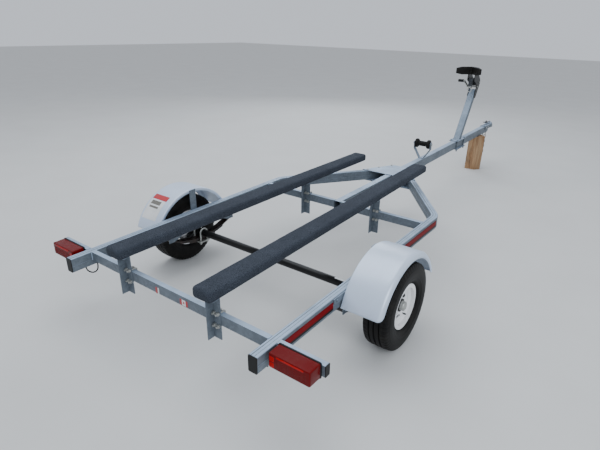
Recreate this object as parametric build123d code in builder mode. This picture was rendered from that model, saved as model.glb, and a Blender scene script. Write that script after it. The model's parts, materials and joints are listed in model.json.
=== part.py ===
from build123d import *
import math
import os

# A small galvanised boat trailer, in millimetres, standing on z = 0 with +Y towards the coupler
# and +Z up. Lengths along it are measured from the axle. The frame is drawn level and then
# raised at the nose about the wheel centres, because its tongue is propped on a split log.

os.makedirs("parts", exist_ok=True)

# Stance
NOSE_UP = 1.1                # degrees that the frame rises towards the coupler
TYRE_R = 230                 # under the trailer's own weight, so also the height of the wheel centres
TOP = 388                    # top of the rails, with the frame level
SEAT_GAP = 0.2               # slack between a rod and what it is clamped on
TRACK = 1580                 # between the middles of the tyres
TYRE_HALF = 72
RAIL_GAP = 66                # from a tyre's inner side to the rail's outer face

# Side rails: rectangular tube with a rolled groove along both side faces
RAIL_OUT = TRACK / 2 - TYRE_HALF - RAIL_GAP    # from the middle to a rail's outer face
RAIL_W = 44
RAIL_H = 76
RAIL_WALL = 3
RAIL_EDGE = 5
RAIL_REAR = -879             # rear end of the tube, before its cap
GROOVE_W = 8
GROOVE_D = 1.2
BEND_Y = 862                 # where the outer faces would meet, if the bend were sharp
BEND_ANGLE = 36
BEND_R = 150                 # radius of the outer face at the bend

# Crossbars and tongue
CROSS_D = 27
CROSS_H = 50
CROSS_WALL = 3
REAR_CROSS_Y = -766          # rear face of the rear crossbar
FRONT_CROSS_Y = 680          # rear face of the front crossbar
ARM_L = 223                  # from a rail's outer face out to the cap of the lamp arm
ARM_END = RAIL_OUT + ARM_L
TONGUE_W = 51
TONGUE_FRONT = 3960
CAP_T = 4
PLUG_T = 14
PLUG_GAP = 0.4

# Gusset plates over and under the meeting of the rails and the tongue
GUSSET_T = 5
GUSSET_REAR_Y = 1430
GUSSET_FRONT_Y = 1700
GUSSET_REAR_HALF = 232
GUSSET_FRONT_HALF = 84

# Bunks and their brackets
BUNK_W = 112
BUNK_T = 52
BUNK_TOP = 523
BUNK_REAR_Y = -831
BUNK_FRONT_Y = 1434
BUNK_REAR_X = 305
BUNK_FRONT_X = 258
BUNK_CORNER = 24
BUNK_EDGE = 16
BRACKET_W = 48               # flange on the crossbar, from the bunk's centre line to the right
BRACKET_D = 40               # leg that points to the rear
BRACKET_T = 4
REAR_BRACKET_LOW = 265
FRONT_BRACKET_LOW = 240
CLAMP_ROD = 10
CLAMP_NUT = 9
CLAMP_SPREAD = 22            # between the two clamps of one bracket
CLAMP_TAIL = 8               # thread past the nut
CLAMP_GAP = 0.3

# Axle, springs and what holds them
AXLE_R = 22
AXLE_SHORT = 52               # from the tyre's middle in to the end of the tube
SPINDLE_R = 13.5
BEARING_FIT = 0.05
LEAF_W = 45
LEAF_T = 8
LEAF_COUNT = 3
LEAF_LONG = 255              # half of the longest leaf
LEAF_STEP = 75               # how much each leaf falls short of the one above it
EYE_Z = 270
EYE_R = 17
EYE_BOLT_R = 7
SEAT_T = 6                   # spring seat under the axle
HANGER_WALL = 5
HANGER_SIDE_GAP = 0.5
HANGER_LENGTH = 150
HANGER_SHOULDER = 20
TIE_T = 8
TIE_W = 86
TIE_L = 84
U_ROD = 11
HEX_H = 8

# Wheels
TREAD_HALF = 54
WALL_DROP = 62               # from the tread's middle down to the widest part
BEAD_R = 102
FLANGE_R = 119
FLANGE_HALF = 52
FLANGE_T = 4
RIM_T = 3
WELL_R = 82
WELL_HALF = 26
SEAT_IN = 36                 # where the bead seat turns down into the well
DISC_IN = 8                  # inner face of the wheel disc, outboard of the tyre's middle
DISC_T = 4
DISC_OUT = 24                # where the disc meets the well
DISC_BREAK_R = 62
PILOT_R = 37
HUB_R = 34
HUB_FLANGE_R = 62
HUB_FLANGE_T = 6
HUB_IN = -45
HUB_OUT = 30
CAP_R = 24
CAP_OUT = 54
CAP_CROWN = 8
STUD_COUNT = 4
STUD_CIRCLE_R = 50.8
STUD_R = 6
NUT_R = 11
NUT_H = 12
VENT_COUNT = 2
VENT_R = 71
VENT_W = 9
VENT_L = 50

# Fenders and their brackets
FENDER_Y = -17
FENDER_Z = 206
FENDER_R = 316
FENDER_HALF_ARC = 70
FENDER_REACH = 210           # from a rail's outer face to the fender's outer edge
FENDER_OUT = RAIL_OUT + FENDER_REACH
FENDER_T = 2.5
FENDER_LIP = 28
FENDER_LIP_R = 22
FENDER_FLANGE = 20
PLATE_T = 4
STRAP_HALF = 24
END_PLATE_OUT = 55           # how far an end plate stands out past the fender's foot
END_PLATE_IN = 50
END_PLATE_RISE = 36          # from the fender's foot up to an end plate's lower edge

# Lamps and reflective strips
LAMP_GAP = 14                # from a rail's outer face to the lamp's inner end
LAMP_IN = RAIL_OUT + LAMP_GAP
LAMP_W = 197
LAMP_H = 72
LAMP_UP = 12                 # how far the lamp's base stands above the arm
LAMP_D = 66
LAMP_BASE_T = 6
LAMP_RIM = 2
STRIP_H = 39
STRIP_T = 3
STRIP_Z = 350
STRIP_RUNS = ((-734, -372), (338, 813))

# Keel roller
ROLLER_Y = 2077
ROLLER_UP = 130              # roller centre above the tongue
ROLLER_HALF = 66
ROLLER_R = 39
ROLLER_WAIST_R = 22
ROLLER_PIN_R = 7
ROLLER_SIDE_GAP = 5
YOKE_T = 5
YOKE_W = 34

# Winch stand
POST_Y = 2946                # rear face of the post where it meets the tongue
POST_LEAN = 32
POST_W = 64
POST_D = 51
POST_WALL = 3
POST_LENGTH = 545
STAND_T = 6
STAND_W = 96
STAND_REAR_Y = 2880
STAND_FRONT_Y = 3120
STAND_BOLT_R = 6
SIDE_T = 5
POST_GRIP = 55               # from the post's top down to where the side plates grip it
MOVING_GAP = 5
DRUM_AHEAD = 35              # from the middle of the post's top
DRUM_ABOVE = 79
DRUM_SHAFT_R = 8
DRUM_FLANGE_R = 46
DRUM_WOUND_R = 37
DRUM_HALF = 25
GEAR_R = 42
GEAR_T = 8
CRANK_AHEAD = -5
CRANK_ABOVE = 37
CRANK_SHAFT_R = 7
PINION_R = 9
CRANK_ARM_T = 6
CRANK_ARM = 139
CRANK_REST = 27              # how far the arm rises from pointing straight back
CRANK_ARM_W = 26
GRIP_R = 15
GRIP_LENGTH = 60
BOW_AHEAD = -115
BOW_ABOVE = 167
BOW_H = 75
BOW_HALF = 130
BOW_DEPTH = 110
BOW_T = 28
BOW_BACK_HALF = 20
BOW_PAD = 22
STRAP_W = 40
STRAP_SLACK = 0.35
STRAP_T = 2.5
STRAP_GUIDE_R = 7
STRAP_GUIDE_AHEAD = -113
STRAP_GUIDE_ABOVE = 119
STRAP_DROP = 70
HOOK_WIRE_R = 4
HOOK_R = 20
HOOK_SHANK = 14

# Coupler
COUPLER_T = 4
COUPLER_REAR_Y = 3830
BALL_Y = 4070
BALL_R = 25.6
BALL_Z = 372
SOCKET_R = 36
SOCKET_LOW = 352
LATCH_PIN_Y = 4010
LATCH_PIN_Z = 407
LATCH_PIN_R = 5
LATCH_HUB_R = 9
LATCH_EAR_R = 10
LATCH_LENGTH = 150
LATCH_T = 5
LATCH_W = 34

# Safety chains
CHAIN_Y = 3925
LUG_W = 18
LUG_H = 7
CHAIN_HOOK_R = 19
CHAIN_X = 14
LINK_ROD = 6
LINK_OUT = 42
LINK_W = 22
LINK_COUNT = 8
LINK_BITE = 0.6              # how far each link sinks into the next
LINK_CORNER = 0.3            # share of a link's width cut off at its corners

# Split log under the tongue
LOG_Y = 3650
LOG_W = 190
LOG_D = 150

# Lamp leads
LEAD_R = 3.5
LEAD_IN = 18                 # from the rail's inner face to the cable's upper end
LEAD_OUT = 32                # from the crossbar's rear face back to its lower end
LEAD_SAG = 67.5              # from the cable's upper end to the bottom of its loop
GROMMET_R = 8
GROMMET_T = 3

# The axle's place is worked out so that the whole trailer is centred on the origin
rise = math.radians(NOSE_UP)
rear_end = (RAIL_REAR - CAP_T) * math.cos(rise) - (TOP - TYRE_R) * math.sin(rise)
front_end = (BALL_Y + SOCKET_R) * math.cos(rise) - (SOCKET_LOW - TYRE_R) * math.sin(rise)
axle_y = -(rear_end + front_end) / 2
nose_lift = Location((0, axle_y, TYRE_R)) * Location((0, 0, 0), (NOSE_UP, 0, 0)) * Location((0, 0, -TYRE_R))


def raised(plane):
    """The plane of the level frame, carried to where the raised frame has it."""
    return Plane(nose_lift * plane.location)


def level(z, x=0, y=0):
    return raised(Plane(origin=(x, y, z)))


def facing_rear(y, x=0, z=0):
    return raised(Plane(origin=(x, y, z), x_dir=(1, 0, 0), z_dir=(0, -1, 0)))


def facing_side(x, y=0, z=0):
    return raised(Plane(origin=(x, y, z), x_dir=(0, 1, 0), z_dir=(1, 0, 0)))


def wheel_section(x):
    """A plane through the wheel's axis, with the radius upwards."""
    return Plane(origin=(x, axle_y, TYRE_R), x_dir=(1, 0, 0), z_dir=(0, -1, 0))


def wheel_face(x):
    return Plane(origin=(x, axle_y, TYRE_R), x_dir=(0, 1, 0), z_dir=(1, 0, 0))


def bunk_x(y):
    """How far from the middle a bunk's centre line is."""
    share = (y - BUNK_REAR_Y) / (BUNK_FRONT_Y - BUNK_REAR_Y)
    return BUNK_REAR_X + (BUNK_FRONT_X - BUNK_REAR_X) * share


rail_bottom = TOP - RAIL_H
rail_middle_z = TOP - RAIL_H / 2
rail_inner = RAIL_OUT - RAIL_W
rail_x = RAIL_OUT - RAIL_W / 2
rail_bore_w = RAIL_W - 2 * RAIL_WALL
rail_bore_h = RAIL_H - 2 * RAIL_WALL
hanger_half = LEAF_W / 2 + HANGER_SIDE_GAP + HANGER_WALL
spring_x = RAIL_OUT - hanger_half
cross_bottom = TOP - CROSS_H
cross_middle_z = TOP - CROSS_H / 2
tongue_half = TONGUE_W / 2
axle_line = Axis((0, axle_y, TYRE_R), (1, 0, 0))
wheel_x = TRACK / 2
axle_end = wheel_x - AXLE_SHORT

# Rails
rail_turn_y = BEND_Y - RAIL_W / 2 * math.tan(math.radians(BEND_ANGLE / 2))
rail_run_in = rail_x / math.tan(math.radians(BEND_ANGLE))

with BuildPart() as rail_right:
    with BuildLine(level(rail_middle_z)):
        FilletPolyline(
            (rail_x, RAIL_REAR),
            (rail_x, rail_turn_y),
            (0, rail_turn_y + rail_run_in),
            radius=BEND_R - RAIL_W / 2,
        )
    with BuildSketch(facing_rear(RAIL_REAR, rail_x, rail_middle_z)):
        RectangleRounded(RAIL_W, RAIL_H, RAIL_EDGE)
        with Locations((-RAIL_W / 2, 0), (RAIL_W / 2, 0)):
            Rectangle(2 * GROOVE_D, GROOVE_W, mode=Mode.SUBTRACT)
        RectangleRounded(rail_bore_w, rail_bore_h, RAIL_EDGE - RAIL_WALL, mode=Mode.SUBTRACT)
    sweep()
    with BuildSketch(level(rail_bottom - 1, tongue_half - rail_x / 2)):
        with Locations((0, rail_turn_y + rail_run_in)):
            Rectangle(rail_x, rail_x)
    extrude(amount=RAIL_H + 2, mode=Mode.SUBTRACT)

with BuildPart() as rail_left:
    mirror(rail_right.part, about=Plane.YZ)

# Crossbars: the rear one carries an arm for a lamp outside each rail
with BuildPart() as rear_crossbar:
    for start, end in ((-rail_inner, rail_inner), (RAIL_OUT, ARM_END), (-ARM_END, -RAIL_OUT)):
        with BuildSketch(facing_side(start, REAR_CROSS_Y + CROSS_D / 2, cross_middle_z)):
            Rectangle(CROSS_D, CROSS_H)
            Rectangle(CROSS_D - 2 * CROSS_WALL, CROSS_H - 2 * CROSS_WALL, mode=Mode.SUBTRACT)
        extrude(amount=end - start)

with BuildPart() as front_crossbar:
    for start, end in ((tongue_half, rail_inner), (-rail_inner, -tongue_half)):
        with BuildSketch(facing_side(start, FRONT_CROSS_Y + CROSS_D / 2, cross_middle_z)):
            Rectangle(CROSS_D, CROSS_H)
            Rectangle(CROSS_D - 2 * CROSS_WALL, CROSS_H - 2 * CROSS_WALL, mode=Mode.SUBTRACT)
        extrude(amount=end - start)

with BuildPart() as tongue:
    with BuildSketch(facing_rear(TONGUE_FRONT, 0, rail_middle_z)):
        RectangleRounded(TONGUE_W, RAIL_H, RAIL_EDGE)
        RectangleRounded(TONGUE_W - 2 * RAIL_WALL, rail_bore_h, RAIL_EDGE - RAIL_WALL, mode=Mode.SUBTRACT)
    extrude(amount=TONGUE_FRONT - FRONT_CROSS_Y)

with BuildPart() as gusset_plates:
    for height in (TOP, rail_bottom - GUSSET_T):
        with BuildSketch(level(height)):
            with BuildLine():
                Polyline(
                    (-GUSSET_REAR_HALF, GUSSET_REAR_Y),
                    (GUSSET_REAR_HALF, GUSSET_REAR_Y),
                    (GUSSET_FRONT_HALF, GUSSET_FRONT_Y),
                    (-GUSSET_FRONT_HALF, GUSSET_FRONT_Y),
                    close=True,
                )
            make_face()
        extrude(amount=GUSSET_T)

# Plastic caps close the rear ends of the rails and the ends of the lamp arms, and grommets in
# the undersides of the rear crossbar and the rails hold the ends of the lamp leads
lead_ends = (
    (rail_inner - LEAD_IN, REAR_CROSS_Y + CROSS_D / 2, cross_bottom - GROMMET_T),
    (rail_x, REAR_CROSS_Y - LEAD_OUT, rail_bottom - GROMMET_T),
)

with BuildPart() as end_caps:
    with BuildSketch(facing_rear(RAIL_REAR, rail_x, rail_middle_z)):
        RectangleRounded(RAIL_W, RAIL_H, RAIL_EDGE)
    extrude(amount=CAP_T)
    with BuildSketch(facing_rear(RAIL_REAR, rail_x, rail_middle_z)):
        RectangleRounded(rail_bore_w - 2 * PLUG_GAP, rail_bore_h - 2 * PLUG_GAP, RAIL_EDGE - RAIL_WALL)
    extrude(amount=-PLUG_T)
    with BuildSketch(facing_side(ARM_END, REAR_CROSS_Y + CROSS_D / 2, cross_middle_z)):
        Rectangle(CROSS_D, CROSS_H)
    extrude(amount=CAP_T)
    with BuildSketch(facing_side(ARM_END, REAR_CROSS_Y + CROSS_D / 2, cross_middle_z)):
        Rectangle(CROSS_D - 2 * CROSS_WALL - 2 * PLUG_GAP, CROSS_H - 2 * CROSS_WALL - 2 * PLUG_GAP)
    extrude(amount=-PLUG_T)
    for x, y, z in lead_ends:
        with BuildSketch(level(z, x, y)):
            Circle(GROMMET_R)
        extrude(amount=GROMMET_T)
    mirror(about=Plane.YZ)

# Bunks: carpeted boards that close in slightly towards the bow
bunk_run = BUNK_FRONT_Y - BUNK_REAR_Y
bunk_turn = math.degrees(math.atan2(BUNK_REAR_X - BUNK_FRONT_X, bunk_run))
bunk_middle = ((BUNK_REAR_X + BUNK_FRONT_X) / 2, (BUNK_REAR_Y + BUNK_FRONT_Y) / 2)
bunk_length = math.hypot(bunk_run, BUNK_REAR_X - BUNK_FRONT_X)
bunk_bottom = BUNK_TOP - BUNK_T

with BuildPart() as bunk_right:
    with BuildSketch(level(bunk_bottom)):
        with Locations(Location((bunk_middle[0], bunk_middle[1], 0), (0, 0, bunk_turn))):
            RectangleRounded(BUNK_W, bunk_length, BUNK_CORNER)
    extrude(amount=BUNK_T)
    fillet(bunk_right.faces().sort_by(Axis.Z)[-1].edges(), BUNK_EDGE)
    fillet(bunk_right.faces().sort_by(Axis.Z)[0].edges(), BUNK_EDGE)

with BuildPart() as bunk_left:
    mirror(bunk_right.part, about=Plane.YZ)

# Bunk brackets: upright angles on the rear faces of the crossbars, all of one hand
clamp_hole_r = CLAMP_ROD / 2 + 0.5
clamp_top_z = TOP + CLAMP_GAP + CLAMP_ROD / 2
clamp_low_z = cross_bottom - CLAMP_GAP - CLAMP_ROD / 2
clamp_middle = (BRACKET_T + BRACKET_W) / 2
bracket_corner = (Align.MIN, Align.MAX)
bracket_sites = [
    (side * bunk_x(cross_y), cross_y, low)
    for side in (-1, 1)
    for cross_y, low in ((REAR_CROSS_Y, REAR_BRACKET_LOW), (FRONT_CROSS_Y, FRONT_BRACKET_LOW))
]

with BuildPart() as bunk_brackets:
    for corner_x, cross_y, low in bracket_sites:
        with BuildSketch(level(low, corner_x, cross_y)):
            Rectangle(BRACKET_W, BRACKET_T, align=bracket_corner)
            Rectangle(BRACKET_T, BRACKET_D, align=bracket_corner)
        extrude(amount=bunk_bottom - low)
        with BuildSketch(level(bunk_bottom - BRACKET_T, corner_x, cross_y)):
            Rectangle(BRACKET_W, BRACKET_D, align=bracket_corner)
        extrude(amount=BRACKET_T)
        with BuildSketch(facing_rear(cross_y, corner_x + clamp_middle)):
            with Locations(
                (-CLAMP_SPREAD / 2, clamp_top_z),
                (CLAMP_SPREAD / 2, clamp_top_z),
                (-CLAMP_SPREAD / 2, clamp_low_z),
                (CLAMP_SPREAD / 2, clamp_low_z),
            ):
                Circle(clamp_hole_r)
        extrude(amount=BRACKET_T, mode=Mode.SUBTRACT)

# Square clamps round the crossbars, two to each bracket, nutted behind the flange
clamp_reach = CROSS_D + CLAMP_GAP + CLAMP_ROD / 2
clamp_tail = BRACKET_T + CLAMP_NUT + CLAMP_TAIL

with BuildPart() as bracket_clamps:
    for corner_x, cross_y, low in bracket_sites:
        for offset in (-CLAMP_SPREAD / 2, CLAMP_SPREAD / 2):
            clamp_x = corner_x + clamp_middle + offset
            with BuildLine(facing_side(clamp_x, cross_y)):
                FilletPolyline(
                    (-clamp_tail, clamp_top_z),
                    (clamp_reach, clamp_top_z),
                    (clamp_reach, clamp_low_z),
                    (-clamp_tail, clamp_low_z),
                    radius=CLAMP_ROD * 0.6,
                )
            with BuildSketch(facing_rear(cross_y - clamp_tail, clamp_x, clamp_top_z)):
                Circle(CLAMP_ROD / 2)
            sweep()
            for height in (clamp_top_z, clamp_low_z):
                with BuildSketch(facing_rear(cross_y - BRACKET_T, clamp_x, height)):
                    RegularPolygon(CLAMP_ROD * 0.95, 6)
                extrude(amount=CLAMP_NUT)

# Axle with a welded seat over each spring, and the spindles
spring_top = TYRE_R - AXLE_R - SEAT_T
leaf_middle = spring_top - LEAF_T / 2
leaf_end = EYE_Z - EYE_R + LEAF_T / 2
leaf_sag = leaf_end - leaf_middle
leaf_radius = (LEAF_LONG ** 2 + leaf_sag ** 2) / (2 * leaf_sag)
leaf_centre_z = leaf_middle + leaf_radius
seat_low = spring_top + AXLE_R ** 2 / (2 * leaf_radius) + 0.05

with BuildPart() as axle:
    with BuildSketch(wheel_face(0)):
        Circle(AXLE_R)
    extrude(amount=axle_end, both=True)
    with BuildSketch(facing_side(spring_x, 0, (TYRE_R + seat_low) / 2)):
        Rectangle(2 * AXLE_R, TYRE_R - seat_low)
    extrude(amount=LEAF_W / 2, both=True)
    with BuildSketch(wheel_face(axle_end)):
        Circle(SPINDLE_R)
    extrude(amount=wheel_x + HUB_OUT - 4 - axle_end)
    mirror(about=Plane.YZ)

# Leaf springs: nested leaves on one arc, bowed down under the axle
with BuildPart() as spring_right:
    for index in range(LEAF_COUNT):
        half = LEAF_LONG - index * LEAF_STEP
        inner = leaf_radius - LEAF_T / 2 + index * LEAF_T
        with BuildSketch(facing_side(spring_x)):
            with Locations((0, leaf_centre_z)):
                Circle(inner + LEAF_T)
                Circle(inner, mode=Mode.SUBTRACT)
            with Locations((0, leaf_middle)):
                Rectangle(2 * half, 4 * leaf_sag, mode=Mode.INTERSECT)
        extrude(amount=LEAF_W / 2, both=True)
    with BuildSketch(facing_side(spring_x)):
        with Locations((-LEAF_LONG, EYE_Z), (LEAF_LONG, EYE_Z)):
            Circle(EYE_R)
    extrude(amount=LEAF_W / 2, both=True)
    with BuildSketch(facing_side(spring_x)):
        with Locations((-LEAF_LONG, EYE_Z), (LEAF_LONG, EYE_Z)):
            Circle(EYE_BOLT_R + SEAT_GAP)
    extrude(amount=LEAF_W, both=True, mode=Mode.SUBTRACT)

with BuildPart() as spring_left:
    mirror(spring_right.part, about=Plane.YZ)

# Spring hangers under the rails, with the eye bolts
eye_y = LEAF_LONG

with BuildPart() as spring_hangers:
    for way in (-1, 1):
        with BuildSketch(facing_side(spring_x)):
            with BuildLine():
                Polyline(
                    (way * (eye_y + HANGER_SHOULDER), rail_bottom),
                    (way * (eye_y + HANGER_SHOULDER), EYE_Z - HANGER_SHOULDER),
                    (way * (eye_y - HANGER_SHOULDER), EYE_Z - HANGER_SHOULDER),
                    (way * (eye_y + HANGER_SHOULDER - HANGER_LENGTH), rail_bottom - HANGER_SHOULDER),
                    (way * (eye_y + HANGER_SHOULDER - HANGER_LENGTH), rail_bottom),
                    close=True,
                )
            make_face()
        extrude(amount=hanger_half, both=True)
        with BuildSketch(facing_side(spring_x)):
            with Locations((way * eye_y, rail_bottom - HANGER_WALL - RAIL_H)):
                Rectangle(3 * HANGER_LENGTH, 2 * RAIL_H)
        extrude(amount=hanger_half - HANGER_WALL, both=True, mode=Mode.SUBTRACT)
        with BuildSketch(facing_side(spring_x, way * eye_y, EYE_Z)):
            Circle(EYE_BOLT_R)
        extrude(amount=hanger_half, both=True)
        for face in (-1, 1):
            with BuildSketch(facing_side(spring_x + face * hanger_half, way * eye_y, EYE_Z)):
                RegularPolygon(EYE_BOLT_R * 1.75, 6)
            extrude(amount=face * HEX_H)
    mirror(about=Plane.YZ)

# Round clamps over the axle, with the tie plate under the leaves
tie_top = spring_top - LEAF_T * LEAF_COUNT
u_leg = AXLE_R + SEAT_GAP + U_ROD / 2
u_side = LEAF_W / 2 + SEAT_GAP + U_ROD / 2

with BuildPart() as axle_clamps:
    with BuildSketch(level(tie_top - TIE_T, spring_x)):
        RectangleRounded(TIE_W, TIE_L, 6)
    extrude(amount=TIE_T)
    for side in (-u_side, u_side):
        with BuildLine(facing_side(spring_x + side)):
            Line((-u_leg, tie_top - TIE_T - 2 * HEX_H), (-u_leg, TYRE_R))
            ThreePointArc((-u_leg, TYRE_R), (0, TYRE_R + u_leg), (u_leg, TYRE_R))
            Line((u_leg, TYRE_R), (u_leg, tie_top - TIE_T - 2 * HEX_H))
        with BuildSketch(level(tie_top - TIE_T - 2 * HEX_H, spring_x + side, -u_leg)):
            Circle(U_ROD / 2)
        sweep()
        for leg in (-u_leg, u_leg):
            with BuildSketch(level(tie_top - TIE_T - HEX_H, spring_x + side, leg)):
                RegularPolygon(U_ROD * 0.9, 6)
            extrude(amount=HEX_H)
    mirror(about=Plane.YZ)

# Tyres: a solid ring from the rim's edge outwards, which leaves out the hollow inside
tyre_foot_r = FLANGE_R + SEAT_GAP

with BuildPart() as tyre_right:
    with BuildSketch(wheel_section(wheel_x)):
        with BuildLine():
            Polyline(
                (-FLANGE_HALF, tyre_foot_r),
                (-TYRE_HALF, TYRE_R - WALL_DROP),
                (-TREAD_HALF, TYRE_R),
                (TREAD_HALF, TYRE_R),
                (TYRE_HALF, TYRE_R - WALL_DROP),
                (FLANGE_HALF, tyre_foot_r),
                close=True,
            )
        make_face()
    revolve(axis=axle_line)

with BuildPart() as tyre_left:
    mirror(tyre_right.part, about=Plane.YZ)

# Rims: drop-centre rim with a dished and vented disc
with BuildPart() as rim_right:
    with BuildSketch(wheel_section(wheel_x)):
        with BuildLine():
            Polyline(
                (0, WELL_R),
                (WELL_HALF, WELL_R),
                (SEAT_IN, BEAD_R - RIM_T),
                (FLANGE_HALF, BEAD_R - RIM_T),
                (FLANGE_HALF, FLANGE_R),
                (FLANGE_HALF - FLANGE_T, FLANGE_R),
                (FLANGE_HALF - FLANGE_T, BEAD_R),
                (SEAT_IN - RIM_T, BEAD_R),
                (WELL_HALF - RIM_T, WELL_R + RIM_T),
                (0, WELL_R + RIM_T),
                close=True,
            )
        make_face()
        mirror(about=Plane.YZ)
        with BuildLine():
            Polyline(
                (DISC_OUT, WELL_R + 1),
                (DISC_OUT - DISC_T, WELL_R + 1),
                (DISC_IN, DISC_BREAK_R),
                (DISC_IN, PILOT_R),
                (DISC_IN + DISC_T, PILOT_R),
                (DISC_IN + DISC_T, DISC_BREAK_R),
                close=True,
            )
        make_face()
    revolve(axis=axle_line)
    with BuildSketch(wheel_face(wheel_x)):
        with PolarLocations(STUD_CIRCLE_R, STUD_COUNT, start_angle=180 / STUD_COUNT):
            Circle(STUD_R + 1)
        with PolarLocations(VENT_R, VENT_COUNT, start_angle=90):
            Rectangle(VENT_W, VENT_L)
    extrude(amount=FLANGE_HALF, mode=Mode.SUBTRACT)

with BuildPart() as rim_left:
    mirror(rim_right.part, about=Plane.YZ)

# Hubs: barrel, flange, studs with their nuts, and a dust cap over the bearing
crown_r = (CAP_R ** 2 + CAP_CROWN ** 2) / (2 * CAP_CROWN)
crown_turn = math.degrees(math.asin(CAP_R / crown_r))

with BuildPart() as hub_right:
    with BuildSketch(wheel_section(wheel_x)):
        with BuildLine():
            Polyline(
                (HUB_IN, SPINDLE_R + BEARING_FIT),
                (HUB_IN, HUB_R),
                (DISC_IN - HUB_FLANGE_T, HUB_R),
                (DISC_IN - HUB_FLANGE_T, HUB_FLANGE_R),
                (DISC_IN, HUB_FLANGE_R),
                (DISC_IN, HUB_R),
                (HUB_OUT, HUB_R),
                (HUB_OUT, CAP_R),
                (CAP_OUT - CAP_CROWN, CAP_R),
            )
            CenterArc((CAP_OUT - crown_r, 0), crown_r, 0, crown_turn)
            Polyline(
                (CAP_OUT, 0),
                (HUB_OUT, 0),
                (HUB_OUT, SPINDLE_R + BEARING_FIT),
                (HUB_IN, SPINDLE_R + BEARING_FIT),
            )
        make_face()
    revolve(axis=axle_line)
    with BuildSketch(wheel_face(wheel_x + DISC_IN)):
        with PolarLocations(STUD_CIRCLE_R, STUD_COUNT, start_angle=180 / STUD_COUNT):
            Circle(STUD_R)
    extrude(amount=DISC_T + NUT_H + 3)
    with BuildSketch(wheel_face(wheel_x + DISC_IN + DISC_T)):
        with PolarLocations(STUD_CIRCLE_R, STUD_COUNT, start_angle=180 / STUD_COUNT):
            RegularPolygon(NUT_R, 6)
    extrude(amount=NUT_H)

with BuildPart() as hub_left:
    mirror(hub_right.part, about=Plane.YZ)

# Fenders: an arch with a rolled outer lip and a flange along its inner edge
fender_in = RAIL_OUT + PLATE_T
fender_start = math.radians(FENDER_HALF_ARC)
fender_normal = (0, -math.cos(fender_start), -math.sin(fender_start))
fender_line = Axis(raised(Plane(origin=(0, FENDER_Y, FENDER_Z))).origin, (1, 0, 0))

with BuildPart() as fender_right:
    with BuildSketch(raised(Plane((0, FENDER_Y, FENDER_Z), (1, 0, 0), fender_normal))) as arch:
        with BuildLine():
            Polyline(
                (fender_in, FENDER_R - FENDER_FLANGE),
                (fender_in, FENDER_R),
                (FENDER_OUT, FENDER_R),
                (FENDER_OUT, FENDER_R - FENDER_LIP),
                (FENDER_OUT - FENDER_T, FENDER_R - FENDER_LIP),
                (FENDER_OUT - FENDER_T, FENDER_R - FENDER_T),
                (fender_in + FENDER_T, FENDER_R - FENDER_T),
                (fender_in + FENDER_T, FENDER_R - FENDER_FLANGE),
                close=True,
            )
        make_face()
        fillet(arch.vertices().sort_by_distance((FENDER_OUT, FENDER_R, 0))[0], FENDER_LIP_R)
        fillet(
            arch.vertices().sort_by_distance((FENDER_OUT - FENDER_T, FENDER_R - FENDER_T, 0))[0],
            FENDER_LIP_R - FENDER_T,
        )
    revolve(axis=fender_line, revolution_arc=-2 * FENDER_HALF_ARC)

with BuildPart() as fender_left:
    mirror(fender_right.part, about=Plane.YZ)

# Fender plates: a strap in the middle and a plate at each end, on the rail's outer face
fender_foot_z = FENDER_Z + FENDER_R * math.cos(fender_start)
fender_foot_reach = FENDER_R * math.sin(fender_start)

with BuildPart() as fender_plates:
    with BuildSketch(facing_side(RAIL_OUT, FENDER_Y)):
        with Locations((0, (rail_bottom + FENDER_Z + FENDER_R - FENDER_T) / 2)):
            Rectangle(2 * STRAP_HALF, FENDER_Z + FENDER_R - FENDER_T - rail_bottom)
    extrude(amount=PLATE_T)
    for way in (-1, 1):
        with BuildSketch(facing_side(RAIL_OUT, FENDER_Y + way * fender_foot_reach)):
            with BuildLine():
                Polyline(
                    (way * END_PLATE_OUT, TOP - 6),
                    (way * END_PLATE_OUT, fender_foot_z + END_PLATE_RISE + 14),
                    (way * (END_PLATE_OUT - 14), fender_foot_z + END_PLATE_RISE),
                    (-way * END_PLATE_IN, fender_foot_z + END_PLATE_RISE),
                    (-way * END_PLATE_IN, TOP - 6),
                    close=True,
                )
            make_face()
        extrude(amount=PLATE_T)
        plate_bolt_y = FENDER_Y + way * (fender_foot_reach + END_PLATE_OUT / 2)
        with BuildSketch(facing_side(RAIL_OUT + PLATE_T, plate_bolt_y)):
            with Locations((0, TOP - 22)):
                Circle(7)
        extrude(amount=4)
    mirror(about=Plane.YZ)

# Lamps: a red lens on a black base, behind each lamp arm
lamp_x = LAMP_IN + LAMP_W / 2
lamp_z = TOP + LAMP_UP - LAMP_H / 2

with BuildPart() as lamp_bases:
    with BuildSketch(facing_rear(REAR_CROSS_Y, lamp_x, lamp_z)):
        RectangleRounded(LAMP_W, LAMP_H, 6)
    extrude(amount=LAMP_BASE_T)
    mirror(about=Plane.YZ)

with BuildPart() as lamp_right:
    with BuildSketch(facing_rear(REAR_CROSS_Y - LAMP_BASE_T, lamp_x, lamp_z)):
        RectangleRounded(LAMP_W - 2 * LAMP_RIM, LAMP_H - 2 * LAMP_RIM, 6)
    extrude(amount=LAMP_D, taper=1)

with BuildPart() as lamp_left:
    mirror(lamp_right.part, about=Plane.YZ)

# Reflective strips along the rails' outer faces, behind and ahead of the fenders
with BuildPart() as side_strips:
    for start, end in STRIP_RUNS:
        with BuildSketch(facing_side(RAIL_OUT, (start + end) / 2, STRIP_Z)):
            Rectangle(end - start, STRIP_H)
        extrude(amount=STRIP_T)
    mirror(about=Plane.YZ)

# Keel roller in its yoke on the tongue
roller_z = TOP + ROLLER_UP
yoke_inner = ROLLER_HALF + ROLLER_SIDE_GAP

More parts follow.
